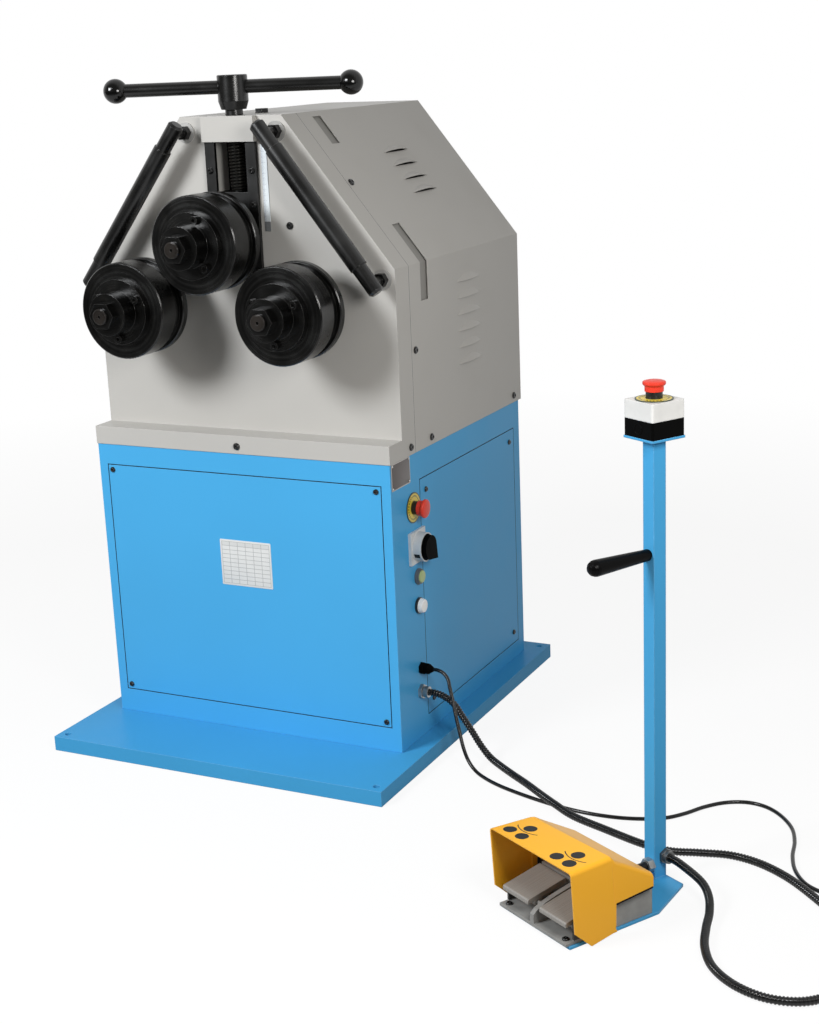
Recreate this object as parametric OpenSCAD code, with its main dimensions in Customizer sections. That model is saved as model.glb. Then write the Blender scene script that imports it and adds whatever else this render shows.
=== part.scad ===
// Ring roller: three-roll section bender on a cabinet, with a separate pedal stand.
// Millimetres, +Z up, the front faces -Y, the origin is the centre of the anchor holes on the floor.

/* [Base] */
// Width of the base tray
base_w = 746; // [730:2:770]
// Length of the base tray, front to back
base_l = 848; // [836:2:880]
// Height of the base tray
base_h = 30; // [26:1:34]
// Anchor hole inset from the tray edges
anchor_inset = 20; // [19:0.5:24]
// Anchor hole diameter
anchor_hole_d = 13; // [11:0.5:15]

/* [Cabinet] */
// Width of the cabinet
cabinet_w = 660; // [652:2:670]
// Depth of the cabinet
cabinet_d = 620; // [600:5:640]
// Top of the cabinet above the floor
cabinet_top = 605; // [600:1:612]
// Sheet thickness of the cabinet
sheet = 3; // [2:0.5:4]
// Distance from the front of the tray to the cabinet
front_setback = 176; // [172:1:180]

/* [Frame] */
// Thickness of the front plate
plate_t = 56; // [52:1:60]
// Height of the shoulders above the cabinet
shoulder_rise = 356; // [350:1:362]
// Height of the frame top above the cabinet
frame_rise = 636; // [632:1:640]
// Width of the flat top of the frame
top_w = 221; // [212:1:228]
// Thickness of the rear plate
rear_t = 40; // [30:1:44]
// Sheet thickness of the hood
hood_t = 2; // [1.5:0.5:3]

/* [Rolls] */
// Outside diameter of the roll rings
ring_d = 182; // [170:1:184]
// Width of the front ring
front_ring_w = 47; // [40:1:52]
// Width of the spacer between the rings
spacer_w = 25; // [20:1:30]
// Width of the rear ring
rear_ring_w = 16; // [12:1:20]
// Diameter of the spacer
spacer_d = 165; // [150:1:168]
// Height of the lower roll axes above the cabinet
lower_rise = 288; // [284:1:292]
// Height of the top roll axis above the lower ones
roll_lift = 125; // [122:1:130]
// Diameter of the roll journals
journal_d = 60; // [56:1:60]

/* [Handle] */
// Diameter of the pressing screw
screw_d = 30; // [28:1:30]
// Distance between the two ball centres
handle_span = 446; // [400:2:460]
// Diameter of the ball knobs
ball_d = 46; // [40:1:50]
// Diameter of the handle bar
bar_d = 25; // [20:1:26]
// Turn of the handle at rest
handle_turn = 21; // [0:1:45]

/* [Guide bars] */
// Diameter of the guide bars
guard_bar_d = 27; // [24:1:30]
// Distance from the plate to the guide bar axis
bar_standoff = 50; // [46:1:56]

/* [Pedal stand] */
// Stand position to the right
stand_x = 923; // [910:1:935]
// Stand position toward the front
stand_y = -497; // [-505:1:-490]
// Turn of the stand
stand_turn = -30; // [-34:1:-27]
// Width of the square post
post_w = 25; // [24:0.5:27]
// Top of the post above the floor
post_top = 752; // [740:1:765]
// Half width of the pedal casting
casting_half = 85; // [84:0.5:87]

/* [Cords] */
// Diameter of the mains lead
lead_d = 7.2; // [6.8:0.1:7.4]
// Diameter of the pedal hose
hose_d = 14; // [13:0.5:15]

/* [Fits] */
// Radial gap of running shafts
run_gap = 0.05; // [0.02:0.01:0.1]
// Gap beside sliding parts
slide_gap = 0.3; // [0.25:0.05:0.4]
// Gap of seated parts
seat_gap = 0.02; // [0.01:0.01:0.04]

/* [Hidden] */
$fn = 48;
eps = 0.5;

// levels and planes
half_cab = cabinet_w / 2;
y_front = -base_l / 2 + front_setback;
y_back = y_front + cabinet_d;
z_deck = cabinet_top;
half_body = half_cab + 1.5;
half_top = top_w / 2;
z_shoulder = z_deck + shoulder_rise;
z_top = z_deck + frame_rise;
lip_depth = 54;
lip_h = 36;
y_lip = y_front - 1.5;
y_plate = y_lip + lip_depth;
y_seam = y_plate + plate_t;
y_hood_end = y_back + 12;
frame_gap = 199.5;
y_rear = y_seam + frame_gap;
y_rear_end = y_rear + rear_t;
deck_t = 12;

// anchor pattern
anchor_dx = base_w - 2 * anchor_inset;
anchor_dy = base_l - 2 * anchor_inset;
anchor_boss_d = 28;
base_sheet = 4;

// cabinet panels
panel_gap = 1.5;
panel_margin = 21;
panel_z0 = base_h + 50;
panel_z1 = cabinet_top - 43;
panel_screw_in = 10;
side_y0 = y_front + 123;
side_y1 = y_back - 32;
side_z0 = base_h + 36;
side_z1 = cabinet_top - 57;
side_screw_in = 25;
seat_w = 16;
screw_head_r = 5.5;
screw_head_h = 3.5;
screw_shank_r = 3;
frame_screw_r = 7;
frame_screw_h = 4;
frame_screw_up = 15;

// drive
gear_module = 5;
gear_teeth = 40;
pinion_teeth = 28;
gear_w = 38;
tooth_thin = 0.16;
roll_half = gear_module * (gear_teeth + pinion_teeth) / 2;
z_lower = z_deck + lower_rise;
z_upper = z_lower + roll_lift;
drive_gap = 10;
y_gear = y_rear_end + drive_gap;
y_gear_end = y_gear + gear_w;
y_box = y_gear_end + drive_gap;
box_l = 142;
y_box_end = y_box + box_l;
box_half = 95;
box_over = 105;
z_box = z_lower + box_over;
pinion_r = 20;
motor_in = 72;
motor_y = y_box + motor_in;
motor_rise = 225;
motor_z = z_deck + motor_rise;
motor_r = 66;
motor_l = 200;
bush_r = 40;
tail_r = 25;

// rolls
roll_w = front_ring_w + spacer_w + rear_ring_w;
roll_front = y_plate - 154.5;
roll_back = roll_front + roll_w;
seat_r = 25;
stud_r = 15;
journal_r = journal_d / 2;
collar_r = 37.5;
collar_gap = 0.5;
cap_flange_r = 61.5;
cap_flange_t = 12;
cap_boss_r = 39.5;
cap_l = 48;
nut_af = 46;
nut_t = 18;
cap_screw_r = 50;
cap_head_r = 8;
cap_head_h = 8;
ring_edge = 2;

// carriage and slot
slot_half = 45;
slot_z0 = z_upper - 78;
block_h = 47;
block_half = 57;
block_front = 13.5;
z_block = z_top - block_h;
carriage_half = slot_half - slide_gap;
carriage_z0 = z_upper - 62;
carriage_z1 = z_upper + 82;
carriage_y0 = y_plate + slide_gap;
carriage_y1 = y_rear_end - slide_gap;
gib_x0 = 34;
gib_x1 = 55;
gib_t = 7.5;
gib_screws = 4;
gib_screw_x = (gib_x0 + gib_x1) / 2 + 1;
gib_screw_low = 12;
gib_screw_high = 53;
gib_screw_step = (z_block - slot_z0 - gib_screw_low - gib_screw_high) / (gib_screws - 1);
shoulder_r = 33;

// screw and handle
screw_y = y_plate + 17.5;
screw_r = screw_d / 2;
neck_r = 9;
grip_collar_r = 13;
cavity_z0 = z_upper + 50;
cavity_z1 = z_upper + 72;
hub_z0 = z_top + 11;
hub_z1 = z_top + 74;
hub_r = 28.5;
hub_neck_r = 16.6;
hub_foot = 0.8;
hub_well = 9;
bar_z = z_top + 52;
ball_in = 8;

// guide bars: the lower and upper stud on the right, as x and z on the plate
bar_top = [half_top - 11.5, z_top - 29.4];
bar_low = [half_body - 25.5, z_shoulder - 19];
bar_over = 22.5;
bar_end = 4.5;
bar_seat = 4;
bar_washer_r = 19;
bar_neck_r = 12;
bar_neck_l = 58;
bar_stud_r = 8;
bar_y = y_plate - bar_standoff;

// controls on the right side of the cabinet, as y and z
estop_at = [y_front + 91, 500.6];
isolator_at = [y_front + 95, 423];
start_at = [y_front + 99, 360.6];
lamp_at = [y_front + 96, 302];
lead_gland = [y_front + 96, 172];
hose_gland = [y_front + 92, 125];
disc_r = 30;
disc_t = 1.5;
estop_collar_r = 13.2;
estop_collar_h = 12;
estop_stem_r = 6;
estop_neck_r = 14.9;
estop_head_r = 18.2;
estop_travel = 5;
isolator_half = 32;
isolator_t = 6;
ring_r = 28.5;
ring_wall = 2.5;
ring_top = 24;
dial_depth = 8;
knob_r = ring_r - ring_wall - 0.5;
lever_h = 9;
spindle_r = 4;
button_r = 12;
bezel_r = 16;
lens_r = 14;
lead_gland_l = 27;
hose_gland_l = 18;

// stand, in its own frame: a to the right, b to the back
post_half = post_w / 2;
stand_plate_t = 5;
pedal_shift = 10;
pedal_a0 = 14.5;
pedal_a1 = 80;
pivot_b = -243;
pivot_z = 33;
pin_r = 4;
guard_half = casting_half + 15;
guard_t = 3;
fin_half = 4.5;
stand_box = 66.6;
stand_cap_t = 4;
box_base_h = 28;
box_lid_h = 29;
box_corner_r = 3.5;
grip_z = 564;
grip_r = 13.6;
grip_root_r = 9.5;
stand_gland_l = 13;
stand_hose_z = 41;
stand_hose_b = 10;
pipe_a = 3;
pipe_z = 28;

// cord routes, hand chosen
lead_r = lead_d / 2;
lead_floor = lead_r + 0.3;
coil_z = lead_r + 1.3;
coil_at = [1262, -414];
coil_out = 50;
coil_step = lead_d + 0.7;
coil_dip = coil_step / 2;
coil_rise = coil_step;
lead_x = half_cab + lead_gland_l;
lead_route = [
    [lead_x, lead_gland[0], lead_gland[1]],
    [lead_x + 8, lead_gland[0], lead_gland[1]],
    [lead_x + 19, lead_gland[0] - 1.2, lead_gland[1] - 2.6],
    [lead_x + 28.5, lead_gland[0] - 4, lead_gland[1] - 8],
    [lead_x + 35.5, lead_gland[0] - 8, lead_gland[1] - 16],
    [lead_x + 40, lead_gland[0] - 13, lead_gland[1] - 26],
    [408, -176, 122],
    [419, -188, 97],
    [431, -200, 72],
    [445, -213, 43],
    [460, -223, 22],
    [480, -234, 9],
    [506, -248, lead_floor + 0.5],
    [540, -266, lead_floor],
    [580, -282, lead_floor],
    [626, -297, lead_floor],
    [676, -310, lead_floor],
    [732, -318, lead_floor],
    [790, -316, lead_floor],
    [838, -304, lead_floor],
    [874, -285, lead_floor],
    [900, -256, lead_floor],
    [924, -218, lead_floor],
    [954, -187, lead_floor],
    [990, -172, lead_floor],
    [1026, -178, lead_floor],
    [1060, -204, lead_floor],
    [1090, -246, lead_floor],
    [1107, -295, lead_floor],
    [1117, -350, lead_floor],
    [1134, -400, lead_floor],
    [1161, -439, lead_floor],
    [1194, -458, lead_floor],
    [1228, -464, coil_z],
    [coil_at[0] - lead_d, coil_at[1] - coil_out, coil_z],
    [coil_at[0], coil_at[1] - coil_out, coil_z]
];
hose_r = hose_d / 2;
hose_floor = hose_r + 0.4;
hose_x = half_cab + hose_gland_l;
stand_hose = stand_point(post_half + stand_gland_l, stand_hose_b);
stand_hose_run = stand_point(post_half + stand_gland_l + hose_d, stand_hose_b);
hose_route = [
    [hose_x, hose_gland[0], hose_gland[1]],
    [hose_x + 12, hose_gland[0], hose_gland[1]],
    [hose_x + 28.5, hose_gland[0], hose_gland[1] - 3.4],
    [hose_x + 44, hose_gland[0], hose_gland[1] - 11],
    [hose_x + 57, hose_gland[0], hose_gland[1] - 22.5],
    [415, -156, 88],
    [427, -157, 72],
    [440, -158, 54.5],
    [454, -161, 36.5],
    [469, -166, 22],
    [486, -175, 13],
    [508, -190, 10],
    [548, -221, 10],
    [594, -260, 13.8],
    [636, -296, 15.8],
    [676, -324, 14],
    [722, -349, 9],
    [794, -376, hose_floor],
    [868, -404, hose_floor],
    [920, -413, hose_floor],
    [970, -401, hose_floor],
    [1022, -391, hose_floor],
    [1074, -402, hose_floor],
    [1128, -433, hose_floor],
    [1180, -479, hose_floor],
    [1232, -535, hose_floor],
    [1274, -602, hose_floor],
    [1293, -676, hose_floor],
    [1284, -744, hose_floor],
    [1248, -790, hose_floor],
    [1196, -805, hose_floor],
    [1142, -790, hose_floor],
    [1096, -752, hose_floor],
    [1068, -700, hose_floor],
    [1054, -646, 8.5],
    [1047, -604, 13],
    [1036, -571, 23],
    [1016, -546, 33],
    [stand_hose_run[0] + 9, stand_hose_run[1] - 5, stand_hose_z - 1],
    [stand_hose[0], stand_hose[1], stand_hose_z]
];
ribs = 160;

// helpers

function unit(v) = v / norm(v);

// the frame outline as x and z, set in by d from the outside
function outline(d, z0) =
    let (run = half_body - half_top)
    let (rise = z_top - z_shoulder)
    let (slope = norm([run, rise]))
    let (nx = rise / slope)
    let (nz = run / slope)
    let (sx = half_body - d)
    let (sz = z_shoulder - d * (1 - nx) / nz)
    let (tx = half_top - d * (1 - nz) / nx)
    let (tz = z_top - d)
    [[-sx, z0], [sx, z0], [sx, sz], [tx, tz], [-tx, tz], [-sx, sz]];

slope_louvre_l = 112;
side_louvre_l = 114;
louvre_w = 14;
louvre_h = 7.5;
slope_turn = atan2(z_top - z_shoulder, half_body - half_top);

// a point of the stand's frame on the floor plan
function stand_point(a, b) = [stand_x + a * cos(stand_turn) - b * sin(stand_turn),
    stand_y + a * sin(stand_turn) + b * cos(stand_turn)];

module block(x0, x1, y0, y1, z0, z1) {
    translate([x0, y0, z0]) cube([x1 - x0, y1 - y0, z1 - z0]);
}

module xz_prism(points, y0, y1) {
    translate([0, y1, 0]) rotate([90, 0, 0]) linear_extrude(y1 - y0) polygon(points);
}

module yz_prism(points, x0, x1) {
    translate([x0, 0, 0]) rotate([90, 0, 90]) linear_extrude(x1 - x0) polygon(points);
}

module rod_x(r, x0, x1, sides = 48) {
    translate([x0, 0, 0]) rotate([0, 90, 0]) cylinder(h = x1 - x0, r = r, $fn = sides);
}

module rod_y(r, y0, y1, sides = 48) {
    translate([0, y1, 0]) rotate([90, 0, 0]) cylinder(h = y1 - y0, r = r, $fn = sides);
}

module rod_z(r, z0, z1, sides = 48) {
    translate([0, 0, z0]) cylinder(h = z1 - z0, r = r, $fn = sides);
}

// on a face of the right side: local x runs down the face, local z points out of it
module on_side(y, z) {
    translate([half_body, y, z]) rotate([0, 90, 0]) children();
}

module on_wall(at) {
    translate([half_cab, at[0], at[1]]) rotate([0, 90, 0]) children();
}

module on_slope(s, y) {
    translate([half_top, y, z_top]) rotate([0, slope_turn, 0]) translate([s, 0, 0]) children();
}

module both_sides() {
    children();
    mirror([1, 0, 0]) children();
}

module at_stand() {
    translate([stand_x, stand_y, 0]) rotate([0, 0, stand_turn]) children();
}

module at_pedals() {
    at_stand() translate([pedal_shift, 0, 0]) children();
}

// button-head screw standing on a face, head only
module button_head(r, h) {
    difference() {
        rotate_extrude() polygon([[0, 0], [r, 0], [r, h * 0.45], [r * 0.72, h], [0, h]]);
        translate([0, 0, h * 0.4]) cylinder(h = h, r = r * 0.42, $fn = 6);
    }
}

// the hole of one cover screw through a sheet and its seat
module screw_hole(up) {
    translate([0, 0, -3 * sheet]) cylinder(h = 3 * sheet + up, r = screw_shank_r + seat_gap);
}

module panel_screw() {
    button_head(screw_head_r, screw_head_h);
    translate([0, 0, -2 * sheet]) cylinder(h = 2 * sheet + 0.6, r = screw_shank_r);
}

// smooth route through hand-chosen points
function route_point(p, i, t) =
    let (a = p[max(i - 1, 0)])
    let (b = p[i])
    let (c = p[i + 1])
    let (d = p[min(i + 2, len(p) - 1)])
    0.5 * (2 * b + (c - a) * t + (2 * a - 5 * b + 4 * c - d) * t * t + (3 * b - a - 3 * c + d) * t * t * t);

function curve(p, n) =
    [for (i = [0:len(p) - 2]) for (k = [0:n - 1]) route_point(p, i, k / n), p[len(p) - 1]];

function run_table(c) = [for (i = 0, s = 0; i < len(c); s = s + norm(c[min(i + 1, len(c) - 1)] - c[i]),
    i = i + 1) s];

// n + 1 points at even distances along a curve
function even_points(c, n) =
    let (s = run_table(c))
    let (m = len(c) - 1)
    let (xs = [for (i = [0:m]) [s[i], c[i][0]]])
    let (ys = [for (i = [0:m]) [s[i], c[i][1]]])
    let (zs = [for (i = [0:m]) [s[i], c[i][2]]])
    [for (k = [0:n]) let (d = s[m] * k / n) [lookup(d, xs), lookup(d, ys), lookup(d, zs)]];

function heading(p, k) = unit(p[min(k + 1, len(p) - 1)] - p[max(k - 1, 0)]);

function ring(p, k, r, n) =
    let (t = heading(p, k))
    let (side = unit(cross(t, [0, 0, 1])))
    let (up = cross(side, t))
    [for (j = [0:n - 1]) p[k] + r * (cos(360 * j / n) * side + sin(360 * j / n) * up)];

function skin(m, n, first, inward) = [for (k = [0:m - 1]) for (j = [0:n - 1])
    let (a = first + k * n + j)
    let (b = first + k * n + (j + 1) % n)
    inward ? [a, a + n, b + n, b] : [a, b, b + n, a + n]];

// solid round tube along points, n sides
module tube(p, r, n) {
    m = len(p) - 1;
    points = [for (k = [0:m]) each ring(p, k, r, n)];
    start = [[for (j = [n - 1:-1:0]) j]];
    end = [[for (j = [0:n - 1]) m * n + j]];
    polyhedron(points = points, faces = concat(start, skin(m, n, 0, false), end), convexity = 10);
}

// ribbed hose with its bore: crests and roots alternate along the outer skin
module ribbed(p, r, root, bore, n) {
    m = len(p) - 1;
    outer = [for (k = [0:m]) each ring(p, k, k % 2 == 0 ? root : r, n)];
    q = [for (k = [0:4:m]) p[k]];
    w = len(q) - 1;
    inner = [for (k = [0:w]) each ring(q, k, bore, n)];
    f = (m + 1) * n;
    start = [for (j = [0:n - 1]) let (i = (j + 1) % n) [i, j, f + j, f + i]];
    end = [for (j = [0:n - 1]) let (i = (j + 1) % n) [m * n + j, m * n + i, f + w * n + i, f + w * n + j]];
    polyhedron(points = concat(outer, inner),
        faces = concat(start, skin(m, n, 0, false), skin(w, n, f, true), end), convexity = 10);
}

// involute gear outline, tooth on the x axis
function spread(rb, r) = let (a = acos(min(1, rb / r))) tan(a) * 180 / PI - a;

function gear_points(teeth) =
    let (rp = gear_module * teeth / 2)
    let (rb = rp * cos(20))
    let (ra = rp + gear_module)
    let (rr = rp - 1.25 * gear_module)
    let (half = 90 / teeth - tooth_thin / rp * 180 / PI + spread(rb, rp))
    let (radii = [max(rb, rr), (max(rb, rr) + rp) / 2, rp, (rp + ra) / 2, ra])
    [for (i = [0:teeth - 1]) each let (c = 360 * i / teeth) concat(
        [rr * [cos(c - half - 0.2), sin(c - half - 0.2)]],
        [for (r = radii) let (w = half - spread(rb, r)) r * [cos(c - w), sin(c - w)]],
        [for (k = [4:-1:0]) let (r = radii[k]) let (w = half - spread(rb, r)) r * [cos(c + w), sin(c + w)]],
        [rr * [cos(c + half + 0.2), sin(c + half + 0.2)]])];

// base and cabinet

module at_anchors() {
    for (x = [-1, 1])
        for (y = [-1, 1])
            translate([x * anchor_dx / 2, y * anchor_dy / 2, 0]) children();
}

module base_plate() {
    color([0.16, 0.55, 0.82]) difference() {
        union() {
            difference() {
                block(-base_w / 2, base_w / 2, -base_l / 2, base_l / 2, 0, base_h);
                block(-base_w / 2 + base_sheet, base_w / 2 - base_sheet, -base_l / 2 + base_sheet,
                    base_l / 2 - base_sheet, -1, base_h - base_sheet);
            }
            at_anchors() cylinder(h = base_h, d = anchor_boss_d);
        }
        at_anchors() translate([0, 0, -1]) cylinder(h = base_h + 2, d = anchor_hole_d);
    }
}

// the front panel's four screws, local z out of the panel
module at_front_screws() {
    for (x = [-1, 1])
        for (z = [panel_z0 + panel_screw_in, panel_z1 - panel_screw_in])
            translate([x * (half_cab - panel_margin - panel_screw_in), y_front, z])
                rotate([90, 0, 0]) children();
}

module at_side_screws() {
    for (y = [side_y0 + side_screw_in, side_y1 - side_screw_in])
        for (z = [side_z0 + side_screw_in, side_z1 - side_screw_in])
            on_wall([y, z]) children();
}

module cabinet_shell() {
    px = half_cab - panel_margin + panel_gap;
    pz0 = panel_z0 - panel_gap;
    pz1 = panel_z1 + panel_gap;
    sy0 = side_y0 - panel_gap;
    sy1 = side_y1 + panel_gap;
    sz0 = side_z0 - panel_gap;
    sz1 = side_z1 + panel_gap;
    color([0.16, 0.55, 0.82]) difference() {
        union() {
            difference() {
                block(-half_cab, half_cab, y_front, y_back, base_h, cabinet_top);
                block(-half_cab + sheet, half_cab - sheet, y_front + sheet, y_back - sheet, base_h - 1,
                    cabinet_top + 1);
                block(-px, px, y_front - 1, y_front + sheet + eps, pz0, pz1);
                block(half_cab - sheet - eps, half_cab + 1, sy0, sy1, sz0, sz1);
            }
            difference() {
                block(-half_cab + eps, half_cab - eps, y_front + eps, y_back - eps, cabinet_top - sheet,
                    cabinet_top);
                block(-half_cab + 45, half_cab - 45, y_front + 45, y_back - 45, cabinet_top - sheet - 1,
                    cabinet_top + 1);
            }
            difference() {
                block(-px - seat_w / 4, px + seat_w / 4, y_front + sheet, y_front + 2 * sheet, pz0 - seat_w,
                    pz1 + seat_w);
                block(-px + seat_w, px - seat_w, y_front, y_front + 3 * sheet, pz0 + seat_w, pz1 - seat_w);
            }
            difference() {
                block(half_cab - 2 * sheet, half_cab - sheet, sy0 - seat_w, sy1 + seat_w, sz0 - seat_w,
                    sz1 + seat_w);
                block(half_cab - 3 * sheet, half_cab, sy0 + 2.4 * seat_w, sy1 - 2.4 * seat_w,
                    sz0 + 2.4 * seat_w, sz1 - 2.4 * seat_w);
            }
        }
        at_front_screws() screw_hole(0);
        at_side_screws() screw_hole(0);
    }
}

module front_panel() {
    px = half_cab - panel_margin;
    color([0.16, 0.55, 0.82]) difference() {
        block(-px, px, y_front, y_front + sheet, panel_z0, panel_z1);
        at_front_screws() screw_hole(sheet);
    }
}

module side_panel() {
    color([0.16, 0.55, 0.82]) difference() {
        block(half_cab - sheet, half_cab, side_y0, side_y1, side_z0, side_z1);
        at_side_screws() screw_hole(sheet);
    }
}

module deck_plate() {
    half = half_body - hood_t - slide_gap;
    color([0.35, 0.36, 0.37]) block(-half, half, y_seam, y_hood_end - hood_t - slide_gap, z_deck,
        z_deck + deck_t);
}

module frame_screw() {
    button_head(frame_screw_r, frame_screw_h);
}

module cover_screws() {
    color([0.06, 0.06, 0.06]) {
        at_front_screws() panel_screw();
        at_side_screws() panel_screw();
        translate([0, y_lip, z_deck + frame_screw_up]) rotate([90, 0, 0]) frame_screw();
        translate([0, y_seam + 61.5, z_top]) cylinder(h = 8, r = 14, $fn = 6);
        both_sides() {
            on_side(y_lip + 90, z_deck + frame_screw_up) frame_screw();
            on_side(y_seam + 71.5, z_deck + frame_screw_up) frame_screw();
            on_side(y_hood_end - 40, z_deck + frame_screw_up) frame_screw();
            on_side(y_seam + 15.5, z_deck + 195) frame_screw();
            on_slope(164.5, y_seam + 14) frame_screw();
            translate([116.6, y_plate, z_top - 202.5]) rotate([90, 0, 0]) frame_screw();
            for (k = [0:gib_screws - 1])
                translate([gib_screw_x, y_plate - gib_t, slot_z0 + gib_screw_low + gib_screw_step * k])
                    rotate([90, 0, 0]) button_head(6, 4);
        }
        at_pedals() both_sides() translate([casting_half - 13, -258, stand_plate_t + 5]) button_head(6, 3);
    }
}

// frame

module front_frame() {
    color([0.62, 0.61, 0.58]) difference() {
        union() {
            xz_prism(outline(0, z_deck), y_plate, y_seam);
            block(-half_body, half_body, y_lip, y_plate + eps, z_deck, z_deck + lip_h);
        }
        block(-slot_half, slot_half, y_plate - 1, y_seam + 1, slot_z0, z_block + eps);
        block(-block_half, block_half, y_plate - 1, y_seam + 1, z_block, z_top + 1);
        both_sides() translate([roll_half, 0, z_lower]) rod_y(bush_r + seat_gap, y_plate - 1, y_seam + 1);
    }
}

module rear_frame() {
    color([0.42, 0.42, 0.41]) {
        difference() {
            xz_prism(outline(20, z_deck + deck_t), y_rear, y_rear_end);
            block(-slot_half, slot_half, y_rear - 1, y_rear_end + 1, slot_z0, z_block);
            both_sides() translate([roll_half, 0, z_lower])
                rod_y(bush_r + seat_gap, y_rear - 1, y_rear_end + 1);
            translate([0, 0, z_lower]) rod_y(pinion_r + run_gap, y_rear - 1, y_rear_end + 1);
        }
        both_sides() {
            translate([half_body - 62, 0, z_deck + 75]) rod_y(18, y_seam, y_rear);
            translate([80, 0, z_top - 76]) rod_y(14, y_seam, y_rear);
        }
    }
}

// pressed louvre: a shallow arch that rises along its length over a slot, open at its lower edge
module louvre_slot(l, w) {
    side = [[0.40 * w, 0.14 * l], [0.58 * w, 0.25 * l], [0.86 * w, 0.36 * l], [1.04 * w, 0.41 * l]];
    translate([0, 0, -2 * hood_t]) linear_extrude(2 * hood_t + 0.3)
        polygon([side[0], side[1], side[2], side[3], [side[3][0], -side[3][1]], [side[2][0], -side[2][1]],
            [side[1][0], -side[1][1]], [side[0][0], -side[0][1]]]);
}

module louvre_visor(l, w, h) {
    skin_t = 1.2;
    tilt = atan2(h, w);
    rise = h * cos(tilt);
    r = (l * l / 4 + rise * rise) / (2 * rise);
    intersection() {
        translate([-2, -l / 2 - 2, -0.6]) cube([w + 2, l + 4, h + 2]);
        translate([r * sin(tilt), 0, -r * cos(tilt)]) rotate([0, 90 - tilt, 0]) difference() {
            cylinder(h = 4 * w, r = r, center = true);
            cylinder(h = 4 * w + 2, r = r - skin_t, center = true);
        }
    }
}

module at_slope_louvres() {
    for (k = [0:3]) on_slope(99.5 + 33 * k, y_seam + 270) children();
}

module at_side_louvres() {
    for (k = [0:5]) on_side(y_seam + 266, z_deck + 309.5 - 32.8 * k) children();
}

module hood() {
    slot_y0 = y_seam + 49;
    slot_y1 = y_seam + 81;
    // the slot over the shoulder: along the slope from slot_up, then down the side to slot_low
    slot_up = [half_body - 89 * cos(slope_turn), z_shoulder + 89 * sin(slope_turn)];
    slot_low = z_shoulder - 73;
    across = 2 * hood_t * [sin(slope_turn), cos(slope_turn)];
    corner_slot = [slot_up + across, [half_body + 4, z_shoulder + 4], [half_body + 4, slot_low],
        [half_body - 2 * hood_t, slot_low], [half_body - 2 * hood_t, z_shoulder - 1.4], slot_up - across];
    color([0.60, 0.59, 0.56]) union() {
        difference() {
            xz_prism(outline(0, z_deck), y_seam, y_hood_end);
            xz_prism(outline(hood_t, z_deck - 1), y_seam - 1, y_hood_end - hood_t);
            both_sides() {
                on_slope(11.5, slot_y0) translate([0, 0, -2 * hood_t])
                    cube([65, slot_y1 - slot_y0, 3 * hood_t]);
                xz_prism(corner_slot, slot_y0, slot_y1);
                at_slope_louvres() louvre_slot(slope_louvre_l, louvre_w);
                at_side_louvres() louvre_slot(side_louvre_l, louvre_w);
            }
        }
        both_sides() {
            at_slope_louvres() louvre_visor(slope_louvre_l, louvre_w, louvre_h);
            at_side_louvres() louvre_visor(side_louvre_l, louvre_w, louvre_h);
        }
    }
}

module top_block() {
    color([0.12, 0.12, 0.12]) difference() {
        block(-block_half, block_half, y_plate - block_front, y_seam, z_block, z_top);
        translate([0, screw_y, 0]) rod_z(screw_r + run_gap, z_block - 1, z_top + 1);
        translate([0, screw_y, 0]) rod_z(hub_neck_r + slide_gap, z_top - hub_well, z_top + 1);
    }
}

module slide_gibs() {
    color([0.10, 0.10, 0.10]) both_sides() {
        block(gib_x0, gib_x1, y_plate - gib_t, y_plate, slot_z0, z_block);
        block(gib_x0, gib_x1, y_rear_end, y_rear_end + gib_t, slot_z0 + 40, z_block);
    }
}

module height_scale() {
    color([0.80, 0.80, 0.78]) block(63.6, 75.6, y_plate - 1.5, y_plate, z_top - 213, z_top - 52);
}

// one guide bar on the right, its axis through the two studs
module guide_bar() {
    dx = bar_low[0] - bar_top[0];
    dz = bar_low[1] - bar_top[1];
    l = norm([dx, dz]);
    ux = dx / l;
    uz = dz / l;
    difference() {
        translate([bar_top[0] - ux * bar_over, bar_y, bar_top[1] - uz * bar_over])
            rotate([0, atan2(dx, dz), 0]) {
                rotate_extrude() polygon([[0, 0], [bar_neck_r - bar_end, 0], [bar_neck_r, bar_end],
                    [bar_neck_r, l + 2 * bar_over - bar_end], [bar_neck_r - bar_end, l + 2 * bar_over],
                    [0, l + 2 * bar_over]]);
                translate([0, 0, bar_neck_l])
                    cylinder(h = l + 2 * (bar_over - bar_neck_l), r = guard_bar_d / 2);
            }
        for (p = [bar_top, bar_low])
            translate([p[0], 0, p[1]]) rod_y(bar_stud_r + seat_gap, bar_y - bar_seat, bar_y + 30);
    }
}

module guide_bars() {
    color([0.10, 0.10, 0.10]) both_sides() guide_bar();
}

module bar_studs() {
    color([0.14, 0.14, 0.14]) both_sides() for (p = [bar_top, bar_low]) translate([p[0], 0, p[1]]) {
        rod_y(bar_stud_r, bar_y - bar_seat + seat_gap, y_plate);
        difference() {
            union() {
                rod_y(bar_washer_r, y_plate - 3, y_plate);
                rod_y(12 / cos(30), y_plate - 16, y_plate - 3, 6);
            }
            rod_y(bar_stud_r, y_plate - 20, y_plate + 1);
        }
    }
}

// drive

module motor() {
    color([0.25, 0.27, 0.30]) translate([0, motor_y, motor_z]) {
        rod_x(motor_r + 9, box_half, box_half + 14);
        rod_x(motor_r, box_half + 13, box_half + motor_l - 8);
        for (k = [0:6]) rod_x(motor_r + 5, box_half + 32 + 18 * k, box_half + 38 + 18 * k);
        rod_x(motor_r - 6, box_half + motor_l - 9, box_half + motor_l);
    }
}

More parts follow.
